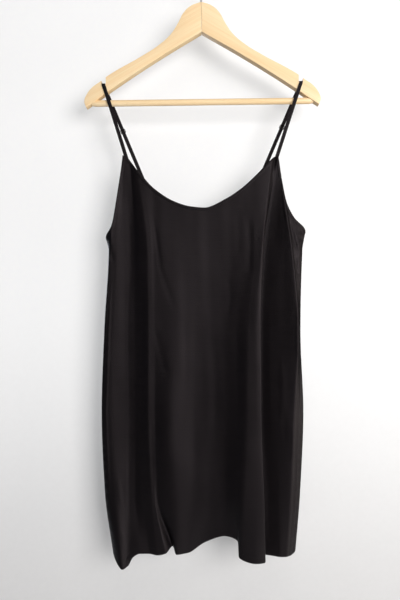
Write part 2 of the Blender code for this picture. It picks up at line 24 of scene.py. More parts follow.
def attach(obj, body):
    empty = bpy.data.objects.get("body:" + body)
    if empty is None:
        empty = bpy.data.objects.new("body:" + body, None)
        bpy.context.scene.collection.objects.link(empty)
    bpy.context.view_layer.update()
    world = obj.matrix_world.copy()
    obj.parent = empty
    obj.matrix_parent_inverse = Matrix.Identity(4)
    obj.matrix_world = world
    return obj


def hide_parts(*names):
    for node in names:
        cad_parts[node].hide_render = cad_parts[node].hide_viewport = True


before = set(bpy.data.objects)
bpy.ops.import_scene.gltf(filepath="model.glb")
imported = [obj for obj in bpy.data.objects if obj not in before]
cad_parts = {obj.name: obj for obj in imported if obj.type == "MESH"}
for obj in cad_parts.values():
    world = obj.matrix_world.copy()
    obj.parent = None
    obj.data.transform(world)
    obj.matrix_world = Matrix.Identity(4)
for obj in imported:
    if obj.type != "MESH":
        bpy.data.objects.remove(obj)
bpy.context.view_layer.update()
print("frame nodes:", sorted(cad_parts))

# %% [markdown]
# ## Camera
# A long dress is looked at from straight in front, with a level camera at the height of its
# waist. A camera that doesn't tilt keeps the upright lines upright. The lens follows from how
# much of the dress's plane the frame takes in at that distance.

# %% The camera
MM = 0.001
SENSOR = 36.0               # on the long side of the frame, which is the upright one
CAMERA_PLACE = Vector((-1.3, -950.0, -630.1))
FRAME_HEIGHT = 1129.2       # of the plane of the dress that the frame takes in

camera_data = bpy.data.cameras.new("camera")
camera_data.sensor_width = SENSOR
camera_data.lens = SENSOR * -CAMERA_PLACE.y / FRAME_HEIGHT


def new_object(name, data):
    """An object of the given data, put in the scene."""
    placed = bpy.data.objects.new(name, data)
    bpy.context.scene.collection.objects.link(placed)
    return placed


camera = new_object("camera", camera_data)
camera.location = CAMERA_PLACE * MM
camera.rotation_euler = (math.pi / 2, 0, 0)
bpy.context.scene.camera = camera
print(f"lens {camera_data.lens:.1f} mm")

# %% [markdown]
# ## Materials
# Colours are picked as sRGB hex values and turned to the linear values that a shader works with.
# Each finish is made of the same few steps: a pattern of noise or waves, a ramp that turns it to
# colours, and a bump that turns it to height. They are the methods of one small class.

# %% Colours
def linear(hex_colour):
    """Linear RGBA of a colour such as '#c8a06a'."""
    parts = [int(hex_colour[i:i + 2], 16) / 255 for i in (1, 3, 5)]
    return [c / 12.92 if c <= 0.04045 else ((c + 0.055) / 1.055) ** 2.4 for c in parts] + [1.0]


# %% The steps of a finish
MIX_A, MIX_B, MIX_RESULT = 6, 7, 2      # sockets of the Mix node when it mixes colours


class Finish:
    """A material with a Principled surface, whose even values are set on its own sockets."""

    def __init__(self, name, **surface):
        self.material = bpy.data.materials.new(name)
        self.material.use_nodes = True
        self.tree = self.material.node_tree
        self.shader = self.tree.nodes["Principled BSDF"]
        for key, value in surface.items():
            socket = key.replace("_", " ").title().replace("Ior", "IOR")
            self.shader.inputs[socket].default_value = value

    @cached_property
    def place(self):
        """Where a point is on the object itself."""
        return self.node("TexCoord", "Object")

    def node(self, kind, output, sockets=None, **properties):
        """The output of a new node. A socket takes a value, or the output that feeds it."""
        node = self.tree.nodes.new("ShaderNode" + kind)
        for key, value in properties.items():
            setattr(node, key, value)
        for key, value in (sockets or {}).items():
            if isinstance(value, bpy.types.NodeSocket):
                self.tree.links.new(value, node.inputs[key])
            else:
                node.inputs[key].default_value = value
        return node.outputs[output]

    def feed(self, socket, source):
        """Lets a pattern drive a socket of the surface."""
        self.tree.links.new(source, self.shader.inputs[socket])

    def noise(self, sizes, detail, roughness=0.5, vector=None):
        """Noise whose blots have these sizes along X, Y and Z."""
        vector = self.place if vector is None else vector
        scale = [1 / (size * MM) for size in sizes]
        stretched = self.node("Mapping", "Vector", {"Vector": vector, "Scale": scale})
        return self.node("TexNoise", "Fac", {"Vector": stretched, "Scale": 1.0, "Detail": detail,
                                             "Roughness": roughness})

    def wave(self, spacing, direction, distortion=0.0):
        """Waves at this spacing. A Wave texture has 20 / tau bands a unit."""
        sockets = {"Vector": self.place, "Scale": math.tau / (20 * spacing * MM),
                   "Distortion": distortion}
        return self.node("TexWave", "Fac", sockets, bands_direction=direction)

    def arithmetic(self, operation, *values):
        """The result of a Math node."""
        return self.node("Math", "Value", dict(enumerate(values)), operation=operation)

    def spread(self, value, low, high, start=0.0, end=1.0, **properties):
        """What lies between `start` and `end`, spread from `low` to `high`."""
        return self.node("MapRange", "Result", {"Value": value, "From Min": start, "From Max": end,
                                                "To Min": low, "To Max": high}, **properties)

    def ramp(self, value, *stops):
        """Colours for a value. A stop is a place from 0 to 1 and a hex colour."""
        colour = self.node("ValToRGB", "Color", {"Fac": value})
        elements = colour.node.color_ramp.elements
        while len(elements) < len(stops):
            elements.new(0.5)
        for element, (place, hex_colour) in zip(elements, stops):
            element.position = place
            element.color = linear(hex_colour)
        return colour

    def multiplied(self, first, second):
        """Two colours, one laid over the other like a stain."""
        return self.node("Mix", MIX_RESULT, {"Factor": 1.0, MIX_A: first, MIX_B: second},
                         data_type="RGBA", blend_type="MULTIPLY")

    def bump(self, height, strength, depth):
        """Relief on the surface, from a height between 0 and 1."""
        self.feed("Normal", self.node("Bump", "Normal", {"Height": height, "Strength": strength,
                                                         "Distance": depth * MM}))


# %% [markdown]
# ### Viscose crepe
# The dress is cut from a light black viscose crepe. Its twisted yarns scatter light, so it is
# matte with a faint sheen where it turns away, and its weft shows as short level slubs. The real
# yarns are 0.3 mm apart, too fine to show here, so the weave is drawn 0.9 mm apart and the slubs
# are 2.6 mm high and 30 mm long. The weave is a bump from two crossed waves, and the slubs shift
# colour and roughness as well.

# %% Crepe
YARN, STRAP_YARN = 0.9, 0.6
SLUB_LENGTH, SLUB_HEIGHT = 30.0, 2.6
SLUB_SHARE = 1.6            # how much higher a slub stands than the weave
CREPE_RELIEF = 0.12


def viscose_crepe(name, dark, light, yarn):
    """Matte black crepe with level slubs."""
    crepe = Finish(name, roughness=0.46, ior=1.45, specular_ior_level=0.24,
                   specular_tint=linear("#fff1fa"), sheen_weight=0.01, sheen_roughness=0.45,
                   sheen_tint=linear("#b8bcc8"))
    slubs = crepe.noise((SLUB_LENGTH, SLUB_LENGTH, SLUB_HEIGHT), 3.0, roughness=0.6)
    crepe.feed("Base Color", crepe.ramp(slubs, (0.32, dark), (0.7, light)))
    crepe.feed("Roughness", crepe.spread(slubs, 0.44, 0.5, start=0.3, end=0.7))
    warp, weft = (crepe.wave(yarn, direction, distortion=0.6) for direction in "XZ")
    weave = crepe.arithmetic("MULTIPLY", warp, weft)
    crepe.bump(crepe.arithmetic("MULTIPLY_ADD", slubs, SLUB_SHARE, weave), 0.9, CREPE_RELIEF)
    return crepe.material


CREPE = viscose_crepe("viscose_crepe", "#030203", "#080608", YARN)
STRAP_CREPE = viscose_crepe("viscose_crepe_strap", "#050405", "#0f0c0f", STRAP_YARN)
print("materials:", CREPE.name, STRAP_CREPE.name)

# %% [markdown]
# ### Sewing thread
# Spun polyester thread is a little glossier than the crepe, so a row of stitches catches the
# light. Its ply is a fine slanted wave.

# %% Thread
THREAD_PLY = 0.5
thread = Finish("spun_polyester_thread", roughness=0.5, ior=1.5, specular_ior_level=0.25)
ply = thread.wave(THREAD_PLY, "DIAGONAL")
thread.feed("Base Color", thread.ramp(ply, (0.2, "#0d0c0c"), (0.8, "#151314")))
thread.bump(ply, 0.4, 0.05)
THREAD = thread.material

# %% [markdown]
# ### Lacquered beech
# The hanger is pale beech, sawn, sanded and dipped in clear lacquer. Beech has a straight, quiet
# grain with short darker flecks. The grain follows each piece, so the function turns the pattern
# by the angle at which the piece was sawn. The lacquer is a thin coat that gives soft highlights.

# %% Beech
FIBRE_LENGTH, FIBRE_WIDTH = 90.0, 1.1
BAND_LENGTH, BAND_WIDTH = 260.0, 7.0
FLECK_LENGTH, FLECK_WIDTH = 7.0, 0.7


def lacquered_beech(name, turn, shift):
    """Clear lacquered beech. `turn` is the grain's angle to the level, about Y."""
    beech = Finish(name, roughness=0.42, ior=1.5, coat_weight=0.35, coat_roughness=0.22)
    sawn = beech.node("Mapping", "Vector", {"Vector": beech.place, "Rotation": (0, turn, 0),
                                            "Location": (shift, 0, shift)})

    def grain(length, width, detail):
        """Noise stretched along the fibres."""
        return beech.noise((length, 2 * width, width), detail, roughness=0.55, vector=sawn)

    fibres = grain(FIBRE_LENGTH, FIBRE_WIDTH, 3.0)
    band_tone = beech.ramp(grain(BAND_LENGTH, BAND_WIDTH, 2.0),
                           (0.3, "#f6d9ab"), (0.5, "#f9dfb4"), (0.7, "#fbe5be"))
    fibre_tone = beech.ramp(fibres, (0.3, "#faf3ea"), (0.62, "#ffffff"))
    fleck_tone = beech.ramp(grain(FLECK_LENGTH, FLECK_WIDTH, 1.0),
                            (0.66, "#ffffff"), (0.78, "#f3e4d0"))
    veined = beech.multiplied(band_tone, fibre_tone)
    beech.feed("Base Color", beech.multiplied(veined, fleck_tone))
    beech.bump(fibres, 0.12, 0.1)
    return beech.material


ARM_SLOPE = math.radians(30)        # of an arm of the hanger below the level
BEECH_LEFT = lacquered_beech("lacquered_beech_left", ARM_SLOPE, 0.0)
BEECH_RIGHT = lacquered_beech("lacquered_beech_right", -ARM_SLOPE, 0.31)
BEECH_BAR = lacquered_beech("lacquered_beech_bar", 0.0, 0.73)
print("materials:", BEECH_LEFT.name, BEECH_RIGHT.name, BEECH_BAR.name)

# %% [markdown]
# ### Wires
# The hook is drawn steel wire with a bright zinc plating, slightly uneven in its polish. The
# sliders and loops are thinner wire, dipped in black enamel that pools slightly unevenly.

# %% Plated steel and enamel
POLISH_SIZE, POOL_SIZE = 4.0, 2.0
steel = Finish("zinc_plated_steel", metallic=0.6, roughness=0.4)
polish = steel.noise([POLISH_SIZE] * 3, 4.0)
steel.feed("Roughness", steel.spread(polish, 0.34, 0.48))
steel.feed("Base Color", steel.ramp(polish, (0.3, "#b4b6ba"), (0.7, "#d2d3d6")))

enamel = Finish("black_enamel", roughness=0.3, ior=1.5)
pooled = enamel.noise([POOL_SIZE] * 3, 2.0)
enamel.feed("Base Color", enamel.ramp(pooled, (0.3, "#151516"), (0.7, "#202022")))
enamel.bump(pooled, 0.25, 0.05)
print("materials:", THREAD.name, steel.material.name, enamel.material.name)

# %% [markdown]
# ## Cloth
# A hanging panel is a flat cut whose folds run from the two points that the straps hold down to
# the hem. Each fold line is one row of a table: where it runs, how far it stands out, and where
# it ends. Smooth curves through the rows make the panel, and a second table adds the small
# creases. A simulation would drape some dress, but not one with these folds in these places.

# %% Smooth curves through a few values
def smooth_slopes(places, values, end_turn):
    """Slopes that add no rise or dip of their own between the values."""
    chords = np.diff(values) / np.diff(places)
    before, after = chords[:-1], chords[1:]
    slopes = np.zeros(len(values))
    same_way = before * after > 0
    slopes[1:-1][same_way] = 2 / (1 / before[same_way] + 1 / after[same_way])
    slopes[0], slopes[-1] = chords[0] * end_turn, chords[-1] * end_turn
    return slopes


def smooth_curve(places, values, at, end_turn=1.0):
    """The smooth curve through the values, read at the places in `at`."""
    places = np.asarray(places, float)
    values = np.asarray(values, float)
    slopes = smooth_slopes(places, values, end_turn)
    k = np.clip(np.searchsorted(places, at, side="right") - 1, 0, len(places) - 2)
    step = places[k + 1] - places[k]
    t = (at - places[k]) / step
    from_left = (1 + 2 * t) * values[k] + t * step * slopes[k]
    from_right = (3 - 2 * t) * values[k + 1] - (1 - t) * step * slopes[k + 1]
    return (1 - t) ** 2 * from_left + t ** 2 * from_right


# %% Fold lines of the front
# x_ is where a line runs at the top edge, at four sections and at the hem, and out_ is how far it
# stands out from the plane of the side seams there. z_ gives the height of its two ends.
BUST, WAIST, HIP, THIGH = -540.0, -690.0, -840.0, -990.0
Fold = namedtuple("Fold", (
    "name x_top x_bust x_waist x_hip x_thigh x_hem "
    "out_top out_bust out_waist out_hip out_thigh out_hem z_top z_hem"))

SEAM_LEFT = Fold("seam_left", -178, -173, -181, -186, -180, -165, 0, 0, 0, 0, -3, -8, -515, -1099)
SEAM_RIGHT = Fold("seam_right", 197, 191, 187, 193, 187, 179, 0, 0, 0, 0, -1, -5, -502, -1099)


def between_seams(*rows):
    """Fold lines from the left side seam to the right one."""
    return [SEAM_LEFT, *(Fold(*row) for row in rows), SEAM_RIGHT]


FRONT_FOLDS = between_seams(
    ("turn_left", -165, -167, -176, -179.4, -174, -160, 15.5, 14, 12.8, 11.6, 14.6, 17.6, -492, -1104),
    ("ridge_1", -155, -157, -164, -167, -157, -142.5, 14.5, 13.2, 12.9, 12, 19.4, 36, -437, -1118.5),
    ("apex_left_out", -145, -140, -140, -140, -139, -133, 10, 10.6, 9.6, 8.4, 16, 31, -361, -1115),
    ("apex_left_in", -139.5, -132, -134, -133, -131, -124, 10, 10, 9, 7.8, 14.4, 29, -360, -1100),
    ("valley_1", -132, -124, -125, -124, -123, -110, 9.5, 11, 9.6, 8.8, 14.6, 29, -371, -1093),
    ("foot_2", -126, -113, -110, -110, -110, -94.5, 11, 14.8, 13.8, 13.4, 18.2, 28, -379.5, -1093.5),
    ("ridge_2", -115, -98, -96, -96, -89, -79, 13, 18.8, 19, 18.8, 24.6, 31.5, -393.5, -1094.5),
    ("lobe_2", -104, -92, -90, -91, -85, -64, 13.4, 18.4, 18.7, 18.7, 24.6, 33, -405.8, -1091),
    ("valley_2", -89, -84, -84, -85, -80, -52, 13.4, 17.4, 18.4, 18.6, 23.4, 20, -421.6, -1083.5),
    ("ridge_3", -53, -52, -41, -54, -47, -44, 15, 18.4, 21, 25.6, 32.2, 30, -446, -1094.5),
    ("ridge_3_end", -20, -5, -8, -9, -12, -23, 16, 17.6, 17.8, 20.4, 28.4, 25.5, -457, -1093.3),
    ("centre", 8, 20, 16, 16, 12, 8, 16.5, 17.6, 18.4, 21.8, 28.2, 20.5, -459.5, -1076),
    ("valley_3", 47, 48, 43, 40, 42, 45, 17.5, 19, 21.8, 26, 32, 26.5, -443, -1062),
    ("flank_3", 77, 74, 65, 63, 62, 67, 18.5, 22.6, 27, 33.6, 43.2, 36, -423, -1067.8),
    ("shoulder_4", 103, 98, 87.5, 84, 79, 68.5, 18, 27, 35.3, 42.7, 51, 42, -399, -1092.2),
    ("ridge_4", 132.5, 111, 101.5, 102, 102, 97, 14.5, 29, 37.6, 45.6, 53, 47.5, -368.5, -1102),
    ("apex_right_in", 138.5, 114.5, 108, 108.5, 113, 116, 8.5, 26.6, 37.1, 45.1, 51.8, 43.5, -363, -1102),
    ("apex_right_out", 143.5, 116.8, 109.8, 110.3, 115.5, 120, 12, 7, 2.8, 2.8, 9, 17, -363, -1101),
    ("foot_5", 145.5, 121, 115, 115.5, 122, 126, 11.5, 7.5, 3.2, 3.2, 9.8, 18.6, -372, -1101),
    ("slope_5", 147, 135, 131, 131, 136, 139, 11, 11.8, 9, 9, 14.4, 23, -382, -1101),
    ("shelf_5", 148.5, 153, 150, 147, 149, 147, 10.5, 18, 15.8, 14.8, 18.6, 25, -392, -1101),
    ("ridge_5", 150.5, 167, 178, 171, 165, 156, 11, 22, 24.6, 21.4, 22, 25, -405, -1101),
    ("lip_5", 160, 171.5, 181.5, 177, 171, 163, 9, 17.2, 19.2, 17.8, 18, 20, -448, -1102),
    ("turn_right", 174, 181, 184.5, 183, 179, 170, 8, 14.8, 12, 12.6, 12.4, 12, -476, -1103),
)
print(len(FRONT_FOLDS), "fold lines in front")

# %% Fold lines of the back
BACK_FOLDS = between_seams(
    ("turn_left", -163, -165, -172, -177, -170, -156, 8, 11, 12, 12, 15, 18, -503, -1099),
    ("ridge_1", -135, -138, -141, -142, -138, -130, 12, 18, 24, 31, 39, 46, -482, -1097),
    ("valley_1", -112, -112, -113, -113, -108, -101, 12, 12, 13, 14, 17, 21, -466, -1093),
    ("apex_left_out", -94, -91, -89, -86, -82, -76, 12, 16, 22, 29, 38, 47, -449, -1094),
    ("apex_left_in", -87, -80, -76, -72, -68, -64, 12, 16, 21, 27, 34, 42, -449, -1093),
    ("valley_2", -58, -52, -50, -48, -46, -44, 12, 13, 15, 17, 21, 27, -460, -1089),
    ("ridge_3", -20, -18, -16, -14, -12, -12, 12, 16, 20, 28, 38, 49, -466, -1089),
    ("valley_3", 20, 24, 26, 28, 31, 33, 12, 12, 15, 20, 28, 38, -466, -1084),
    ("ridge_4", 58, 62, 64, 66, 69, 72, 12, 16, 23, 32, 42, 53, -460, -1088),
    ("apex_right_in", 88, 88, 90, 93, 94, 95, 12, 13, 16, 18, 22, 27, -449, -1089),
    ("apex_right_out", 95, 99, 102, 106, 107, 106, 12, 15, 19, 24, 30, 36, -449, -1093),
    ("ridge_5", 122, 124, 126, 129, 128, 123, 12, 19, 25, 32, 38, 45, -470, -1095),
    ("valley_5", 150, 149, 150, 154, 151, 144, 11, 12, 14, 15, 18, 21, -486, -1097),
    ("turn_right", 182, 178, 176, 182, 176, 165, 8, 11, 11, 11, 13, 16, -499, -1099),
)
print(len(BACK_FOLDS), "fold lines behind")

# %% The panels' points
COLUMNS_PER_FOLD = 9
ROWS = 210
SEAM_TURN = 2.0             # how squarely a panel turns round into its side seam


def fold_line(fold, heights):
    """x and out of one fold line at the given heights, from its top end to the hem."""
    places = -np.array([fold.z_top, BUST, WAIST, HIP, THIGH, fold.z_hem])
    return [smooth_curve(places, values, -heights) for values in (fold[1:7], fold[7:13])]


def top_edge(folds, lines, at):
    """Height of the top edge. It breaks at the two points that the straps hold."""
    heights = np.array([fold.z_top for fold in folds], float)
    points = [i for i, fold in enumerate(folds) if fold.name.startswith("apex")]
    breaks = [0, *points, len(folds) - 1]
    edge = np.empty(len(at))
    for first, last in zip(breaks[:-1], breaks[1:]):
        inside = (at >= first) & (at <= last)
        part = slice(first, last + 1)
        edge[inside] = smooth_curve(lines[part], heights[part], at[inside])
    return edge


def panel_points(folds, facing):
    """Grid of points [row][column] on a panel's outer face, from the hem up."""
    lines = np.arange(len(folds), dtype=float)
    at = np.linspace(0, len(folds) - 1, (len(folds) - 1) * COLUMNS_PER_FOLD + 1)
    top = top_edge(folds, lines, at)
    hem = smooth_curve(lines, [fold.z_hem for fold in folds], at)
    points = np.empty((ROWS + 1, len(at), 3))
    for row, share in enumerate(np.linspace(0, 1, ROWS + 1)):
        read = [fold_line(fold, fold.z_hem + (fold.z_top - fold.z_hem) * share) for fold in folds]
        x = [line[0] for line in read]
        out = np.array([line[1] for line in read], float)
        # The side seams belong to both panels, so they keep their place on either face.
        out[[0, -1]] *= -facing
        points[row, :, 0] = smooth_curve(lines, x, at, end_turn=0.0)
        points[row, :, 1] = facing * smooth_curve(lines, out, at, end_turn=SEAM_TURN)
        points[row, :, 2] = hem + (top - hem) * share
    return points


# %% [markdown]
# ### Small creases
# Crepe that has hung in a wardrobe keeps small creases: a drag line where two folds part, short
# ones under the arms, and the faint ridge that a seam allowance presses through beside each side
# seam. Each is a path on the panel with a depth and a width, and it fades out at both ends.

# %% Creases
# A row is a depth, which stands out where it is positive, a width and a path of x and z.
FRONT_CREASES = [
    (-0.8, 2.8, [(-87, -470), (-81, -520), (-75, -570), (-59, -618), (-41, -664)]),
    (-0.7, 3.5, [(-84, -680), (-74, -730), (-58, -785)]),
    (-1.1, 6.0, [(88, -466), (91, -530), (89, -596)]),
    (-0.5, 6.0, [(67, -455), (70, -500), (69, -565)]),
    (-0.5, 5.0, [(50, -575), (54, -620), (50, -672)]),
    (0.7, 2.4, [(149, -405), (156, -462), (162, -493), (166.5, -524), (170, -555), (175, -591),
                (179, -625)]),
    (-1.5, 2.8, [(163.5, -474), (168, -497), (173, -519), (178.5, -536), (181, -548)]),
    (-1.2, 2.4, [(175, -548), (178, -565), (181, -590)]),
    (0.6, 5.0, [(150, -730), (152, -790), (150, -872)]),
    (-0.5, 3.5, [(152, -820), (154, -860), (158, -905)]),
    (0.5, 3.0, [(168, -850), (170, -890), (168, -940)]),
    (0.6, 3.0, [(-154, -955), (-150, -985), (-146, -1012)]),
    (0.5, 3.0, [(-145, -1050), (-141, -1072), (-137, -1092)]),
    (-1.0, 4.0, [(-174, -516), (-168, -536), (-161, -566)]),
    (-0.4, 5.0, [(-31, -640), (-28, -760), (-33, -880)]),
    (-0.3, 7.0, [(24, -700), (28, -800), (22, -900)]),
]
BACK_CREASES = [
    (-2.0, 5.0, [(-70, -470), (-60, -530), (-58, -600)]),
    (1.4, 4.5, [(-34, -470), (-36, -540), (-30, -620)]),
    (-2.2, 6.0, [(40, -476), (44, -560), (40, -640)]),
    (1.4, 5.0, [(76, -470), (80, -540), (84, -610)]),
    (-2.0, 4.0, [(174, -505), (168, -540), (160, -580)]),
    (1.5, 4.0, [(182, -515), (176, -550), (168, -590)]),
    (-1.8, 4.0, [(-164, -512), (-156, -545), (-150, -590)]),
    (1.2, 6.0, [(-124, -690), (-126, -780), (-122, -880)]),
    (-1.4, 5.0, [(6, -720), (10, -800), (8, -900)]),
    (1.2, 4.0, [(112, -800), (116, -880), (114, -960)]),
    (-1.2, 4.0, [(-30, -930), (-28, -990), (-30, -1050)]),
    (1.0, 4.0, [(150, -930), (152, -980), (148, -1040)]),
]
print(len(FRONT_CREASES) + len(BACK_CREASES), "creases")

# %% How a crease is pressed in
ALLOWANCE = 10.0            # width of the seam allowance that lies behind a panel's side
FADE = 0.3                  # share of a crease's length over which each end runs out


def allowance_creases():
    """The ridge that the edge of the seam allowance presses through, inside each side seam."""
    heights = np.array([BUST, WAIST, HIP, THIGH, SEAM_LEFT.z_hem])
    return [(0.8, 2.2, np.stack((fold_line(seam, heights)[0] + inward * ALLOWANCE, heights), 1))
            for seam, inward in ((SEAM_LEFT, 1), (SEAM_RIGHT, -1))]


def travelled(path):
    """Length of a path up to each of its points."""
    return np.concatenate(([0], np.cumsum(np.linalg.norm(np.diff(path, axis=0), axis=1))))


def near_path(x, z, path):
    """Distance of each point from a path, and its share of the way along it."""
    path = np.asarray(path, float)
    so_far = travelled(path)
    best = np.full(x.shape, np.inf)
    share = np.zeros(x.shape)
    for (x0, z0), (dx, dz), before, after in zip(path, np.diff(path, axis=0), so_far, so_far[1:]):
        t = np.clip(((x - x0) * dx + (z - z0) * dz) / (after - before) ** 2, 0, 1)
        away = np.hypot(x - x0 - t * dx, z - z0 - t * dz)
        closer = away < best
        best[closer] = away[closer]
        share[closer] = (before + t[closer] * (after - before)) / so_far[-1]
    return best, share


def press_creases(points, facing, creases):
    """Moves the panel's points out or in along its creases."""
    x, z = points[..., 0].copy(), points[..., 2].copy()
    for depth, width, path in creases:
        away, share = near_path(x, z, path)
        end = np.clip(np.minimum(share, 1 - share) / FADE, 0, 1)
        fade = end * end * (3 - 2 * end)
        points[..., 1] += facing * depth * fade * np.exp(-(away / width) ** 2)


# %% [markdown]
# Cloth is never quite smooth between its creases. A few long waves of unlike length, under a
# millimetre high, run down the panel, and closer to the side seams the sewing draws the cloth
# into short puckers.

# %% Ripples and puckers
# A row is a height, the wave lengths across and down, and the phase at which it starts.
RIPPLES = [(0.18, 61, 830, 0.4), (0.1, 37, -540, 2.1), (0.06, 23, 390, 4.0), (0.15, 150, 96, 1.2)]
PUCKER_HEIGHT, PUCKER_LENGTH, PUCKER_REACH = 0.55, 17.0, 9.0
SEAM_HOLD = 2.5             # how far from a side seam the cloth is free to move


def ripple(points, facing, start):
    """Adds the long waves, and the puckers beside the side seams."""
    x, z = points[..., 0].copy(), points[..., 2].copy()
    rise = np.zeros(x.shape)
    for height, across, down, phase in RIPPLES:
        rise += height * np.sin(math.tau * (x / across + z / down) + phase + start)
    from_seam = np.minimum(x - x[:, :1], x[:, -1:] - x)
    uneven = 1 + 0.5 * np.sin(z / 41 + start)
    pucker = np.sin(math.tau * z / PUCKER_LENGTH + 1.5 * np.sin(z / 29))
    rise += PUCKER_HEIGHT * uneven * pucker * np.exp(-(from_seam / PUCKER_REACH) ** 2)
    # Both panels share the seam itself, so nothing moves there.
    rise *= np.clip(from_seam / SEAM_HOLD, 0, 1)
    points[..., 1] += facing * rise


# %% [markdown]
# ### Shells
# A panel becomes a sheet of quads with one wall of crepe behind it. Solidify gives the wall, so
# the cloth has a real edge at the hem and the neck, and shows its inside where the dress opens.
# A search tree of the same quads finds the cloth under anything that is sewn to it.

# %% Panels
class Panel:
    """A panel's outer face as a grid of points, and the pieces that are sewn to it."""

    def __init__(self, name, folds, facing, creases, start):
        self.name, self.folds, self.facing, self.sewn = name, folds, facing, []
        self.points = panel_points(folds, facing)
        press_creases(self.points, facing, creases + allowance_creases())
        ripple(self.points, facing, start)
        self.corners = self.points.reshape(-1, 3)
        number = np.arange(len(self.corners)).reshape(self.points.shape[:2])
        around = (number[:-1, :-1], number[:-1, 1:], number[1:, 1:], number[1:, :-1])
        self.quads = np.stack(around, axis=-1).reshape(-1, 4)
        self.tree = BVHTree.FromPolygons(self.corners.tolist(), self.quads.tolist())

    def nearest(self, point):
        """The place on the panel that is nearest to a point, and the way out there."""
        place, normal, _, _ = self.tree.find_nearest(point)
        return place, normal if normal.y * self.facing > 0 else -normal

    def top_edges(self):
        """Names and points of the left armhole, the neck and the right armhole."""
        apexes = [i * COLUMNS_PER_FOLD for i, fold in enumerate(self.folds)
                  if fold.name.startswith("apex")]
        ends = (0, *apexes, self.points.shape[1] - 1)
        runs = zip(("armhole_left", "neck", "armhole_right"), ends[::2], ends[1::2])
        return [(run, self.points[-1, first:last + 1]) for run, first, last in runs]

    def flat_size(self):
        """Size of the flat cut: its widest level line, its longest upright line and its area."""
        along, up = np.diff(self.points, axis=1), np.diff(self.points, axis=0)
        across = np.linalg.norm(along[:, :, :2], axis=2).sum(axis=1).max()
        down = np.linalg.norm(up, axis=2).sum(axis=0).max()
        area = np.linalg.norm(np.cross(along[:-1], up[:, :-1]), axis=2).sum()
        return across, down, area


FRONT = Panel("front", FRONT_FOLDS, -1, FRONT_CREASES, 0.0)
BACK = Panel("back", BACK_FOLDS, 1, BACK_CREASES, 2.6)
for panel in (FRONT, BACK):
    print(panel.name, "flat width, length and area: %.0f mm, %.0f mm, %.0f mm2" % panel.flat_size())

# %% The shells
CREPE_WALL = 0.5


def add_piece(name, mesh, material, slot, *nodes):
    """Puts a mesh in the scene as a piece that stands for the frame's nodes."""
    mesh.materials.append(material)
    piece = new_object(name, mesh)
    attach(piece, "root")
    if nodes:
        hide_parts(*nodes)
    return piece


def cloth_shell(name, panel, node):
    """The sheet through a panel's points, with its wall to the inside."""
    mesh = bpy.data.meshes.new(name)
    faces = panel.quads[:, ::-panel.facing]
    mesh.from_pydata((panel.corners * MM).tolist(), [], faces.tolist())
    mesh.shade_smooth()
    piece = add_piece(name, mesh, CREPE, "crepe", node)
    wall = piece.modifiers.new("crepe_wall", "SOLIDIFY")
    wall.thickness = CREPE_WALL * MM
    wall.offset = -1.0
    return piece


front_shell = cloth_shell("front_shell", FRONT, "front_panel")
back_shell = cloth_shell("back_shell", BACK, "back_panel")
print("shells:", front_shell.name, back_shell.name)

# %% [markdown]
# ### Edges
# The neck and the armholes are bound with a narrow bias strip that wraps the raw edge, and the
# hem is turned up twice. Both are lofted: a small section is carried along the edge of the panel,
# at each place square to the edge and level with the cloth there.

# %% Lofting
SHARP_LOFT = math.radians(55)           # past this angle an edge of a lofted piece looks sharp


def finished_mesh(mesh, name):
    """The mesh of what was built in a bmesh, which is freed."""
    data = bpy.data.meshes.new(name)
    mesh.to_mesh(data)
    mesh.free()
    return data


def loft(rings, name, joined=False):
    """The skin through rings of points. Its ends are capped, or joined to each other."""
    mesh = bmesh.new()
    rows = [[mesh.verts.new(Vector(point) * MM) for point in ring] for ring in rings]
    pairs = list(zip(rows[:-1], rows[1:]))
    if joined:
        pairs.append((rows[-1], rows[0]))
    else:
        mesh.faces.new(rows[0])
        mesh.faces.new(rows[-1])
    for ring, following in pairs:
        for i in range(len(ring)):
            j = (i + 1) % len(ring)
            mesh.faces.new([ring[i], ring[j], following[j], following[i]])
    bmesh.ops.recalc_face_normals(mesh, faces=mesh.faces)
    data = finished_mesh(mesh, name)
    data.shade_smooth()
    data.set_sharp_from_angle(angle=SHARP_LOFT)
    return data


# %% The edges of a panel
def edge_rings(panel, edge, section, upward):
    """A section carried along an edge that runs from left to right.

    Its points are pairs of depth in from the edge and height above the cloth's face. `upward` is
    1 where the edge is the top of the cloth, and -1 at the hem.
    """
    rings = []
    for i, point in enumerate(edge):
        before, after = edge[max(i - 1, 0)], edge[min(i + 1, len(edge) - 1)]
        along = Vector(after - before).normalized()
        place, out = panel.nearest(Vector(point))
        inward = along.cross(out).normalized() * (-panel.facing * upward)
        ring = []
        for depth, height in section:
            below, out_there = place + inward * depth, out
            if depth > 0:
                below, out_there = panel.nearest(below)
            ring.append(below + out_there * height)
        rings.append(ring)
    return rings


def sew_strip(panel, run, edge, section, upward=1):
    """Sews a strip with the given section along an edge."""
    name = f"{panel.name}_{run}"
    strip = loft(edge_rings(panel, edge, section, upward), name)
    panel.sewn.append(add_piece(name, strip, CREPE, "crepe"))


# %% Binding of the neck and armholes
BINDING = 5.0
# Depth in from the raw edge and height above the outer face, once round the strip.
BINDING_SECTION = [
    (BINDING, 0.1), (BINDING - 0.2, 0.42), (3.4, 0.58), (1.2, 0.6), (0.1, 0.5), (-0.45, 0.15),
    (-0.6, -0.3), (-0.4, -0.8), (0.2, -1.1), (1.4, -1.2), (3.4, -1.15), (BINDING - 0.2, -1.0),
    (BINDING, -0.6), (0.3, -0.55), (0.3, 0.05)]

for panel in (FRONT, BACK):
    for run, edge in panel.top_edges():
        sew_strip(panel, f"{run}_binding", edge, BINDING_SECTION)
print("bindings:", [piece.name for panel in (FRONT, BACK) for piece in panel.sewn])

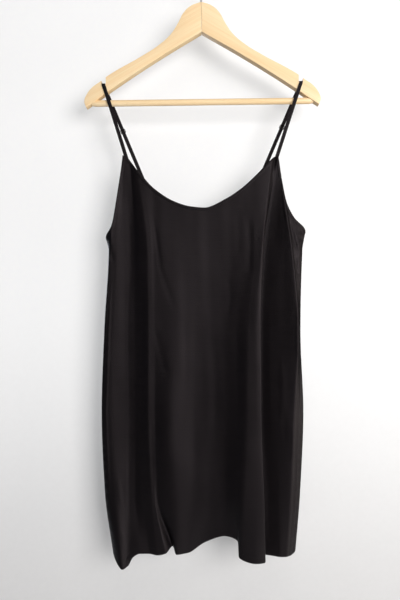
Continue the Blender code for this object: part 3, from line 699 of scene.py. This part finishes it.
# %% Hem
HEM = 12.0
HEM_SECTION = [
    (0.6, 0.04), (0.1, 0.03), (-0.3, -0.2), (-0.4, -0.7), (-0.2, -1.2), (0.6, -1.45), (3.0, -1.5),
    (HEM - 2, -1.45), (HEM, -1.3), (HEM + 0.2, -0.9), (HEM, -0.55), (0.6, -0.5)]
for panel in (FRONT, BACK):
    sew_strip(panel, "hem", panel.points[0], HEM_SECTION, upward=-1)
print("hems:", FRONT.sewn[-1].name, BACK.sewn[-1].name)

# %% [markdown]
# ### Stitches
# Each edge is held by a row of small lockstitches. A stitch is a slim bead of thread that dips
# into the cloth at both ends. The rows are walked in even steps, whatever the spacing of the
# points that they follow.

# %% Rows of stitches
STITCH, STITCH_STEP = 2.4, 3.2
STITCH_HALF_WIDTH, STITCH_HALF_HEIGHT = 0.2, 0.16
STITCH_INSET = 1.0                      # of a row from the inner edge of its binding or hem
ON_BINDING, ON_HEM = 0.62, 0.08         # height of a row above the cloth's face


def even_steps(path, step):
    """Places and directions at even steps along a path."""
    path = np.asarray([tuple(point) for point in path])
    so_far = travelled(path)
    at = np.arange(step / 2, so_far[-1], step)
    places, ahead = (np.array([np.interp(read, so_far, path[:, axis]) for axis in range(3)]).T
                     for read in (at, at + step / 4))
    return [(Vector(a), Vector(b - a).normalized()) for a, b in zip(places, ahead)
            if np.linalg.norm(b - a) > 0]


def sew_stitches(panel, run, edge, depth, height, upward=1):
    """Sews a row of stitches at a set depth in from an edge."""
    path = [ring[0] for ring in edge_rings(panel, edge, [(depth, height)], upward)]
    mesh = bmesh.new()
    for place, along in even_steps(path, STITCH_STEP):
        _, out = panel.nearest(place)
        side = along.cross(out).normalized()
        out = side.cross(along).normalized()
        columns = (along * STITCH / 2, side * STITCH_HALF_WIDTH, out * STITCH_HALF_HEIGHT, place)
        shape = Matrix([[*(column[axis] * MM for column in columns)] for axis in range(3)]
                       + [[0, 0, 0, 1]])
        bmesh.ops.create_icosphere(mesh, subdivisions=1, radius=1.0, matrix=shape)
    name = f"{panel.name}_{run}_stitches"
    data = finished_mesh(mesh, name)
    data.shade_smooth()
    panel.sewn.append(add_piece(name, data, THREAD, "crepe"))


for panel in (FRONT, BACK):
    for run, edge in panel.top_edges():
        sew_stitches(panel, run, edge[1:-1], BINDING - STITCH_INSET, ON_BINDING)
    sew_stitches(panel, "hem", panel.points[0], HEM - STITCH_INSET, ON_HEM, upward=-1)
    print(panel.name, "stitches:", [piece.name for piece in panel.sewn[-4:]])

# %% [markdown]
# ## Straps
# A strap is a narrow tube of the same crepe, pressed flat. It is sewn behind the front point,
# rises to the notch in the hanger, passes over it, and runs down behind: through a wire slider,
# round a wire loop on the back panel, and up again to the slider's middle bar, where it ends. The
# stops of that route are placed as on the real strap, and a smooth curve joins them.

# %% Sizes of the straps, their wires and the notch
SEAM_GAP = 0.3
STRAP_WIDTH, STRAP_THICK = 6.8, 1.2
STRAP_OFF = SEAM_GAP + STRAP_THICK / 2  # from the middle of a strap to what it lies on
WIRE, WIRE_BEND = 0.6, 1.2              # radius of the wires, and of their corners
MIDDLE_WIRE = 0.48                      # radius of the slider's middle bar
SLIDER_PITCH, LOOP_HEIGHT = 3.6, 5.2
WIRE_TURN = WIRE + STRAP_OFF            # from the middle of a strap to that of the wire
STRAP_CLEAR = WIRE_TURN + 0.1
TAB_LEG, TAB_EASE = 6.0, 0.5
HANGER_TILT = math.radians(0.75)
ARM_THICK, ARM_CORNER = 14.0, 1.5
NOTCH_X, NOTCH_Z = 184.5, -224.6
PANEL_WALL = 1.2                        # of the solid that a panel's shell replaces
FRONT_POINT_OUT, BACK_POINT_OUT = 10.0, 12.0
BACKWARD = Vector((1, -1, 1))
Stop = namedtuple("Stop", "place side")

StrapPlan = namedtuple("StrapPlan", "name side front_x front_z back_x back_z slider_z")
STRAP_PLANS = [
    StrapPlan("left", -1, -136.8, -371.0, -89.5, -449.0, -310.0),
    StrapPlan("right", 1, 138.6, -374.0, 91.5, -449.0, -302.0),
]


def tilted(x, y, z):
    """A point of the hanger after it has swung by its tilt about the hook."""
    return Matrix.Rotation(-HANGER_TILT, 3, "Y") @ Vector((x, y, z))


# %% The back of a strap
class BackStrap:
    """The straight line from the notch to the back panel, with places measured along it."""

    def __init__(self, notch_exit, panel_point):
        self.start = notch_exit
        self.along = (panel_point - notch_exit).normalized()
        self.length = (panel_point - notch_exit).length
        self.across = self.along.cross(Vector((0, 1, 0))).normalized()
        self.out = self.across.cross(self.along).normalized()

    def at(self, down, out=0.0):
        """The point so far down the line, and so far out from it to the back."""
        return self.start + self.along * down + self.out * out

    def stop(self, down, out, side=1.0):
        """A stop there. The strap faces back, or inwards where `side` is negative."""
        return Stop(self.at(down, out), self.out * side)


# %% Turns over the arm and round a bar
def over_arm(side, steps=4):
    """Stops over the notch's floor, from the front of the arm to its back."""
    front, floor = -(ARM_THICK / 2 + STRAP_OFF), NOTCH_Z + STRAP_OFF
    half = []
    for i in range(steps + 1):
        angle = math.pi / 2 * i / steps
        y = front + ARM_CORNER * (1 - math.cos(angle))
        z = floor - ARM_CORNER * (1 - math.sin(angle))
        look = Vector((0, -math.cos(angle), math.sin(angle)))
        half.append(Stop(tilted(side * NOTCH_X, y, z), look))
    return half + [Stop(stop.place * BACKWARD, stop.side * BACKWARD) for stop in reversed(half)]


def half_turn(line, middle, bow, steps=6):
    """Stops round a bar at `middle`. `bow` is 1 below the bar and -1 above it."""
    stops = []
    for i in range(1, steps):
        angle = math.pi * i / steps
        out, down = math.cos(angle), bow * math.sin(angle)
        stops.append(Stop(line.at(middle + down * WIRE_TURN, out * WIRE_TURN),
                          line.along * down + line.out * out))
    return stops


# %% The whole route
def strap_stops(plan, line, slider_at, loop_at):
    """A strap from behind the front panel, over the arm, through its slider and its loop."""
    front_y = PANEL_WALL + STRAP_OFF - FRONT_POINT_OUT
    front_point = Vector((plan.front_x, front_y, plan.front_z))
    over = over_arm(plan.side)
    pitch, clear = SLIDER_PITCH, STRAP_CLEAR
    rise = [front_point.lerp(over[0].place, share) for share in (0, 0.08, 0.35, 0.7, 0.95)]
    stops = [Stop(place, Vector((0, -1, 0))) for place in rise] + over
    # Places along the line of the back, each with how far out from it the strap runs.
    down_side = [(6, 0), (30, 0), (slider_at - 14, 0), (slider_at - pitch - 3, -0.8 * clear),
                 (slider_at - pitch, -clear), (slider_at - pitch / 2, 0), (slider_at, clear),
                 (slider_at + pitch / 2, 0), (slider_at + pitch, -clear),
                 (slider_at + pitch + 4, -0.7 * clear), (slider_at + 20, WIRE_TURN * 0.8),
                 (loop_at - 12, WIRE_TURN), (loop_at, WIRE_TURN)]
    under = clear + STRAP_THICK + 2 * SEAM_GAP
    up_side = [(loop_at, WIRE_TURN), (loop_at - 12, WIRE_TURN), (slider_at + 22, WIRE_TURN + 0.6),
               (slider_at + pitch + 5, under), (slider_at + pitch, under),
               (slider_at + pitch / 2, clear + 1.6), (slider_at - 0.4, clear + 0.2)]
    stops += [line.stop(down, out) for down, out in down_side]
    stops += half_turn(line, loop_at, 1)
    return stops + [line.stop(down, -depth, side=-1.0) for down, depth in up_side]


def tab_stops(line, bar_at):
    """The tab that holds the loop: down both faces of the back panel's point."""
    leg = PANEL_WALL / 2 + STRAP_OFF + TAB_EASE
    places = ((line.length + TAB_LEG, leg), (line.length, leg), (bar_at + 0.5, WIRE_TURN))
    outer = [line.stop(down, out) for down, out in places]
    inner = [line.stop(down, -out, side=-1.0) for down, out in reversed(places)]
    return outer + half_turn(line, bar_at, -1) + inner


# %% Ribbons
RIBBON_STEP = 1.5           # between the sections of a ribbon, where its stops are far apart
EDGE_ROUNDING = 0.35        # lower is squarer
GROOVE_DEPTH, GROOVE_HALF = 0.12, 0.25      # as shares of half the thickness and the width


def ribbon_section(place, side, along, points=20):
    """Points round a pressed tube: flat faces, rounded edges, and a faint groove in the middle."""
    across = along.cross(side).normalized()
    up = across.cross(along).normalized()
    ring = []
    for i in range(points):
        angle = math.tau * i / points
        w, n = (math.copysign(abs(wave) ** EDGE_ROUNDING, wave)
                for wave in (math.cos(angle), math.sin(angle)))
        swell = 1 - GROOVE_DEPTH * math.exp(-(w / GROOVE_HALF) ** 2)
        ring.append(place + across * (w * STRAP_WIDTH / 2) + up * (n * STRAP_THICK / 2 * swell))
    return ring


def ribbon(name, stops, material, node):
    """A ribbon lofted through a smooth curve that joins its stops."""
    places, sides = (np.array([tuple(stop[i]) for stop in stops]) for i in (0, 1))
    so_far = travelled(places)
    at = np.concatenate([np.linspace(a, b, max(3, round((b - a) / RIBBON_STEP)), endpoint=False)
                         for a, b in zip(so_far[:-1], so_far[1:])] + [so_far[-1:]])
    line, look = (np.array([smooth_curve(so_far, values[:, axis], at) for axis in range(3)]).T
                  for values in (places, sides))
    rings = []
    for i in range(len(line)):
        along = Vector(line[min(i + 1, len(line) - 1)] - line[max(i - 1, 0)]).normalized()
        rings.append(ribbon_section(Vector(line[i]), Vector(look[i]), along))
    return add_piece(name, loft(rings, name), material, "crepe", node)


# %% [markdown]
# ### Wires
# A wire is a round section carried along a path that lies in one plane. The slider is a rounded
# frame with a middle bar, and the loop is a smaller frame.

# %% Wires
WIRE_SIDES = 16


def wire_mesh(name, path, radius, plane, joined=False):
    """Round sections lofted along a path. `plane` is square to the plane that it lies in."""
    rings = []
    count = len(path)
    for i, place in enumerate(path):
        before = path[(i - 1) % count] if joined else path[max(i - 1, 0)]
        after = path[(i + 1) % count] if joined else path[min(i + 1, count - 1)]
        side = (after - before).cross(plane).normalized()
        ring = []
        for k in range(WIRE_SIDES):
            angle = math.tau * k / WIRE_SIDES
            ring.append(place + (side * math.cos(angle) + plane * math.sin(angle)) * radius)
        rings.append(ring)
    return loft(rings, name, joined)


def rounded_frame(line, middle, half_width, half_height, steps=8):
    """A flat rectangle of wire round `middle`, with round corners."""
    path = []
    for corner, (w_side, down_side) in enumerate(((1, 1), (-1, 1), (-1, -1), (1, -1))):
        for i in range(steps + 1):
            angle = math.pi / 2 * (corner + i / steps)
            w = w_side * (half_width - WIRE_BEND) + WIRE_BEND * math.cos(angle)
            down = down_side * (half_height - WIRE_BEND) + WIRE_BEND * math.sin(angle)
            path.append(line.at(middle + down) + line.across * w)
    return path


def joined_meshes(name, meshes):
    """One mesh of several closed ones."""
    whole = bmesh.new()
    for mesh in meshes:
        whole.from_mesh(mesh)
        bpy.data.meshes.remove(mesh)
    return finished_mesh(whole, name)


# %% Straps, sliders, loops and tabs
BACK_MIDDLE = BACK_POINT_OUT - PANEL_WALL / 2       # of the back panel's wall at its top edge
NOTCH_EXIT = 2.0                                    # how far below the notch's floor it begins
LOOP_PLAY = 0.6


def build_strap(plan):
    """A strap with its slider, its loop, and the tab that holds the loop."""
    exit_y = ARM_THICK / 2 + STRAP_OFF
    notch_exit = tilted(plan.side * NOTCH_X, exit_y, NOTCH_Z - NOTCH_EXIT)
    line = BackStrap(notch_exit, Vector((plan.back_x, BACK_MIDDLE, plan.back_z)))
    slider_at = (notch_exit.z - plan.slider_z) / -line.along.z
    loop_low = line.length - (WIRE + SEAM_GAP + STRAP_THICK) - LOOP_PLAY
    loop_middle, loop_top = loop_low - LOOP_HEIGHT / 2, loop_low - LOOP_HEIGHT
    strap = ribbon(f"strap_ribbon_{plan.name}", strap_stops(plan, line, slider_at, loop_top),
                   STRAP_CREPE, f"strap_{plan.name}")
    tab = ribbon(f"tab_ribbon_{plan.name}", tab_stops(line, loop_low), STRAP_CREPE,
                 f"loop_tab_{plan.name}")
    half_width = STRAP_WIDTH / 2 + SEAM_GAP + WIRE
    slider_frame = rounded_frame(line, slider_at, half_width, SLIDER_PITCH)
    bar = [line.at(slider_at) + line.across * (half_width * share) for share in (-1, 0, 1)]
    slider_name, loop_name = f"slider_wire_{plan.name}", f"loop_wire_{plan.name}"
    slider_mesh = joined_meshes(slider_name, [
        wire_mesh("frame", slider_frame, WIRE, line.out, joined=True),
        wire_mesh("bar", bar, MIDDLE_WIRE, line.out)])
    slider = add_piece(slider_name, slider_mesh, enamel.material, "enamel", f"slider_{plan.name}")
    loop_frame = rounded_frame(line, loop_middle, half_width, LOOP_HEIGHT / 2)
    loop_mesh = wire_mesh(loop_name, loop_frame, WIRE, line.out, joined=True)
    loop = add_piece(loop_name, loop_mesh, enamel.material, "enamel", f"loop_{plan.name}")
    FRONT.sewn.append(strap)
    BACK.sewn += [tab, loop, slider]


for plan in STRAP_PLANS:
    build_strap(plan)
print("straps:", [piece.name for piece in FRONT.sewn[-2:]])

# %% [markdown]
# ## Hanger
# Each arm is sawn from a board along a curved outline, its edges are rounded with a cutter, and
# the two arms are glued in the middle. A notch near each end holds a strap. The outline is a
# filled curve with a Bevel, and the notch, the bar's socket and the hook's hole are cut out.

# %% Outline of an arm
ARM_ROUNDING = 2.0
NOTCH_HALF, NOTCH_HEIGHT = 4.2, 30.0
BAR_RADIUS, BAR_Z, BAR_END = 5.8, -257.9, 208.0
# Points of x and z, from the glue line round the tip and back. The outline is smooth at each of
# them but for its corners.
ARM_OUTLINE = [
    (SEAM_GAP / 2, -72.8), (20.4, -80.4), (33.6, -93.0), (44.6, -113.0), (57.0, -131.5),
    (80.4, -152.5), (112.0, -172.5), (176.0, -208.5), (192.5, -220.5), (207.0, -231.0),
    (216.0, -242.5), (221.0, -256.0), (218.0, -267.0), (203.0, -257.0), (172.0, -235.0),
    (80.4, -175.8), (SEAM_GAP / 2, -128.3)]
ARM_CORNERS = (0, 12, 16)


def evaluated_mesh(thing):
    """The mesh of an object as its curve settings or its modifiers leave it."""
    bpy.context.view_layer.update()
    shaped = thing.evaluated_get(bpy.context.evaluated_depsgraph_get())
    return bpy.data.meshes.new_from_object(shaped)


def arm_board(name, side):
    """The board of one arm, lying in its own plane."""
    curve = bpy.data.curves.new(name, "CURVE")
    curve.dimensions = "2D"
    curve.fill_mode = "BOTH"
    curve.extrude = ARM_THICK / 2 * MM
    curve.resolution_u = 14
    spline = curve.splines.new("BEZIER")
    spline.bezier_points.add(len(ARM_OUTLINE) - 1)
    for i, (x, z) in enumerate(ARM_OUTLINE):
        point = spline.bezier_points[i]
        point.co = (side * x * MM, z * MM, 0)
        point.handle_left_type = point.handle_right_type = "VECTOR" if i in ARM_CORNERS else "AUTO"
    spline.use_cyclic_u = True
    holder = new_object(name, curve)
    mesh = evaluated_mesh(holder)
    bpy.data.objects.remove(holder, do_unlink=True)
    weld = bmesh.new()
    weld.from_mesh(mesh)
    bmesh.ops.remove_doubles(weld, verts=weld.verts, dist=1e-5)
    bmesh.ops.recalc_face_normals(weld, faces=weld.faces)
    weld.to_mesh(mesh)
    weld.free()
    mesh.transform(Matrix.Rotation(math.pi / 2, 4, "X"))
    return mesh


# %% Cutters
TILT = Matrix.Rotation(-HANGER_TILT, 4, "Y")
NOTCH_ROUNDING = 1.2


def drill(radius, length):
    """A round cutter."""
    mesh = bmesh.new()
    bmesh.ops.create_cone(mesh, cap_ends=True, segments=48, radius1=radius * MM,
                          radius2=radius * MM, depth=length * MM)
    return mesh


def block(*size):
    """A box that cuts, with its edges along Y rounded."""
    mesh = bmesh.new()
    bmesh.ops.create_cube(mesh, size=1.0, matrix=Matrix.Diagonal((*(Vector(size) * MM), 1.0)))
    through = [edge for edge in mesh.edges
               if (edge.verts[0].co - edge.verts[1].co).xz.length < 1e-9]
    bmesh.ops.bevel(mesh, geom=through, offset=NOTCH_ROUNDING * MM, segments=4, profile=0.5,
                    affect="EDGES")
    return mesh


def cutter(name, mesh, turn, place):
    """A cutter as an object, turned and moved to its place on the level hanger, then tilted."""
    data = finished_mesh(mesh, name)
    data.transform(TILT @ Matrix.Translation(Vector(place) * MM) @ turn)
    return new_object(name, data)


# %% The arms
HOOK_WIRE, HOOK_FOOT, HOOK_HOLE = 1.75, -94.0, 60.0
SHARP_WOOD = math.radians(35)
STRAIGHT = Matrix.Identity(4)
ALONG_X = Matrix.Rotation(math.pi / 2, 4, "Y")


def hanger_arm(name, side, material, node):
    """An arm with rounded edges, its notch, and room for the bar and the hook."""
    mesh = arm_board(name, side)
    mesh.transform(TILT)
    piece = add_piece(name, mesh, material, "beech", node)
    rounding = piece.modifiers.new("rounded_edges", "BEVEL")
    rounding.width = ARM_ROUNDING * MM
    rounding.segments = 5
    rounding.limit_method = "ANGLE"
    rounding.angle_limit = math.radians(70)
    tools = [
        cutter("notch_cutter", block(2 * NOTCH_HALF, 2 * ARM_THICK, NOTCH_HEIGHT), STRAIGHT,
               (side * NOTCH_X, 0, NOTCH_Z + NOTCH_HEIGHT / 2)),
        cutter("socket_cutter", drill(BAR_RADIUS + SEAM_GAP, 2 * (BAR_END + SEAM_GAP)), ALONG_X,
               (0, 0, BAR_Z)),
        cutter("hook_cutter", drill(HOOK_WIRE + SEAM_GAP, HOOK_HOLE), STRAIGHT,
               (0, 0, HOOK_FOOT - SEAM_GAP + HOOK_HOLE / 2)),
    ]
    for tool in tools:
        cut = piece.modifiers.new(tool.name, "BOOLEAN")
        cut.operation = "DIFFERENCE"
        cut.solver = "EXACT"
        cut.object = tool
    shaped = evaluated_mesh(piece)
    piece.modifiers.clear()
    piece.data = shaped
    for tool in tools:
        bpy.data.objects.remove(tool, do_unlink=True)
    shaped.shade_smooth()
    shaped.set_sharp_from_angle(angle=SHARP_WOOD)
    return piece


arm_left = hanger_arm("arm_board_left", -1, BEECH_LEFT, "hanger_arm_left")
arm_right = hanger_arm("arm_board_right", 1, BEECH_RIGHT, "hanger_arm_right")
print("arms:", len(arm_left.data.vertices), len(arm_right.data.vertices), "points")

# %% [markdown]
# The trouser bar is a dowel, glued into both arms, and the hook is one bent wire. The bar is
# lofted, so that its ends can be eased and its thickness can waver a little as a sanded dowel's
# does.

# %% Trouser bar
BAR_SIDES, BAR_RINGS = 40, 60
BAR_EASE, BAR_WAVER = 0.8, 0.006        # as shares of its radius
BAR_WAVES = 17                          # radians of waver from its middle to an end


def dowel():
    """Rings of the bar, from one eased end to the other."""
    rings = []
    for i in range(BAR_RINGS + 1):
        share = 2 * i / BAR_RINGS - 1
        eased = BAR_EASE if abs(share) == 1 else 1.0
        radius = BAR_RADIUS * eased * (1 - BAR_WAVER * (1 + math.sin(share * BAR_WAVES)))
        ring = []
        for k in range(BAR_SIDES):
            angle = math.tau * k / BAR_SIDES
            ring.append(tilted(share * BAR_END, radius * math.cos(angle),
                               BAR_Z + radius * math.sin(angle)))
        rings.append(ring)
    return rings


add_piece("trouser_dowel", loft(dowel(), "trouser_dowel"), BEECH_BAR, "beech", "trouser_bar")
print("bar from", -BAR_END, "to", BAR_END)

# %% Hook
HOOK_RADIUS, NECK_RADIUS = 22.0, 20.0
HOOK_TIP_ANGLE, HOOK_LEAVE_ANGLE = math.radians(205), math.radians(-40)


def arc(middle, radius, first, last, steps):
    """Points of a round stretch in the hanger's plane, between two angles."""
    angles = [first + (last - first) * i / steps for i in range(steps + 1)]
    return [middle + radius * Vector((math.cos(a), 0, math.sin(a))) for a in angles]


def hook_path():
    """Centre line of the hook, from its open tip over the top and down into the wood."""
    middle = Vector((0, 0, HOOK_WIRE - HOOK_RADIUS))
    path = arc(middle, HOOK_RADIUS, HOOK_TIP_ANGLE, HOOK_LEAVE_ANGLE, 60)
    heading = Vector((math.sin(HOOK_LEAVE_ANGLE), 0, -math.cos(HOOK_LEAVE_ANGLE)))
    side_step = NECK_RADIUS * (1 - math.cos(HOOK_LEAVE_ANGLE))
    bend_start = path[-1] + heading * ((path[-1].x - side_step) / -heading.x)
    bend_drop = NECK_RADIUS * math.sin(HOOK_LEAVE_ANGLE)
    bend_middle = Vector((NECK_RADIUS, 0, bend_start.z + bend_drop))
    path += arc(bend_middle, NECK_RADIUS, math.pi + HOOK_LEAVE_ANGLE, math.pi, 14)
    path.append(Vector((0, 0, HOOK_FOOT)))
    return [tilted(*point) for point in path]


hook_line = hook_path()
hook_mesh = wire_mesh("hook_wire", hook_line, HOOK_WIRE, Vector((0, 1, 0)))
add_piece("hook_wire", hook_mesh, steel.material, "steel", "hook")
print("hook ends at", [round(c, 1) for c in hook_line[-1]])

# %% [markdown]
# ## The cut of the cloth
# Each panel was cut flat, wider than it hangs because its folds take width.

# %% [markdown]
# ## Stage and light
# The dress hangs close to a white wall, above a pale floor. The wall is a one-sided flat: from
# behind it is clear and it blocks no light, so the back of the dress can be looked at. Its paint
# also has a painted glow, brighter towards the top, which lightens the shadows on it. A large
# soft light from the right, like a window, draws the folds: what turns to it is lighter, what
# turns away is black. A weak fill comes from the front, and another one lights the back.

# %% Wall and floor
WALL_Y, WALL_HALF_WIDTH, WALL_TOP = 57.0, 2600.0, 1400.0
FLOOR_Z, FLOOR_HALF_DEPTH = -1900.0, 4200.0
STIPPLE = 9.0                           # size of the texture that a paint roller leaves
# GLOW_LOW and GLOW_HIGH bound the wall's painted glow: painted light, brighter towards the top.
GLOW_LOW, GLOW_HIGH = -1350.0, -600.0   # heights between which the light on the wall grows


def wall_paint_with_painted_glow():
    """White emulsion with a faint roller texture. Its back is clear.

    It also has a painted glow, painted light that grows towards the top and lightens the shadows
    on the wall.
    """
    # The emission colour is a painted glow, painted light rather than the paint's own colour.
    paint = Finish("white_emulsion_painted_glow", roughness=0.85, specular_ior_level=0.2,
                   emission_color=linear("#f6f7f8"))
    stipple = paint.noise([STIPPLE] * 3, 3.0)
    paint.feed("Base Color", paint.ramp(stipple, (0.3, "#bdbec0"), (0.7, "#bfc0c2")))
    height = paint.node("SeparateXYZ", "Z", {"Vector": paint.place})
    # Painted light: the glow is weak at the bottom and grows towards the top, lightening shadows.
    paint.feed("Emission Strength", paint.spread(
        height, 0.18, 0.5, GLOW_LOW * MM, GLOW_HIGH * MM, interpolation_type="SMOOTHSTEP"))
    one_sided = paint.node("MixShader", "Shader", {
        0: paint.node("NewGeometry", "Backfacing"), 1: paint.shader.outputs["BSDF"],
        2: paint.node("BsdfTransparent", "BSDF")})
    paint.tree.links.new(one_sided, paint.tree.nodes["Material Output"].inputs["Surface"])
    return paint.material


def stage_sheet(name, edge_low, edge_high, material):
    """A flat between two level edges as wide as the wall. Each is a pair of y and z."""
    half, (low_y, low_z), (high_y, high_z) = WALL_HALF_WIDTH, edge_low, edge_high
    corners = [(-half, low_y, low_z), (half, low_y, low_z), (half, high_y, high_z),
               (-half, high_y, high_z)]
    mesh = bpy.data.meshes.new(name)
    mesh.from_pydata([Vector(corner) * MM for corner in corners], [], [(0, 1, 2, 3)])
    mesh.materials.append(material)
    sheet = new_object(name, mesh)
    return sheet


wall = stage_sheet("wall", (WALL_Y, FLOOR_Z), (WALL_Y, WALL_TOP), wall_paint_with_painted_glow())
for ray in ("diffuse", "glossy", "transmission", "shadow", "volume_scatter"):
    setattr(wall, f"visible_{ray}", False)
pale_floor = Finish("pale_floor", roughness=0.6, base_color=linear("#dedede")).material
stage_sheet("floor", (-FLOOR_HALF_DEPTH, FLOOR_Z), (FLOOR_HALF_DEPTH, FLOOR_Z), pale_floor)
print("the wall is", WALL_Y, "mm behind the hook and the floor", -FLOOR_Z, "mm below it")

# %% Lights
LOOK_AT = Vector((0, 0, -600))


def soft_light(name, place, size, watts, colour):
    """A square area light that looks at the middle of the dress."""
    data = bpy.data.lights.new(name, "AREA")
    data.size = size * MM
    data.energy = watts
    data.color = linear(colour)[:3]
    light = new_object(name, data)
    light.location = Vector(place) * MM
    light.rotation_mode = "QUATERNION"
    light.rotation_quaternion = (LOOK_AT - Vector(place)).to_track_quat("-Z", "Y")


soft_light("window", (1450, -2350, -190), 1500, 74.0, "#fffbf7")
soft_light("ceiling", (300, -1500, 1500), 1200, 11.0, "#fffaf3")
soft_light("floor_bounce", (200, -1700, -2300), 1400, 3.6, "#fff6ec")
soft_light("side_bounce", (2300, -420, -900), 1300, 26.0, "#fff6ec")
soft_light("left_fill", (-2500, -450, -300), 1300, 3.0, "#dfe8ff")
soft_light("back_fill", (-1500, 2300, 300), 1800, 42.0, "#eef3ff")

world = bpy.data.worlds.new("daylight")
world.use_nodes = True
backdrop = world.node_tree.nodes["Background"]
backdrop.inputs["Color"].default_value = linear("#eef1f6")
backdrop.inputs["Strength"].default_value = 0.04
bpy.context.scene.world = world
bpy.context.scene.view_settings.view_transform = "Standard"
print("lights:", [light.name for light in bpy.data.lights])
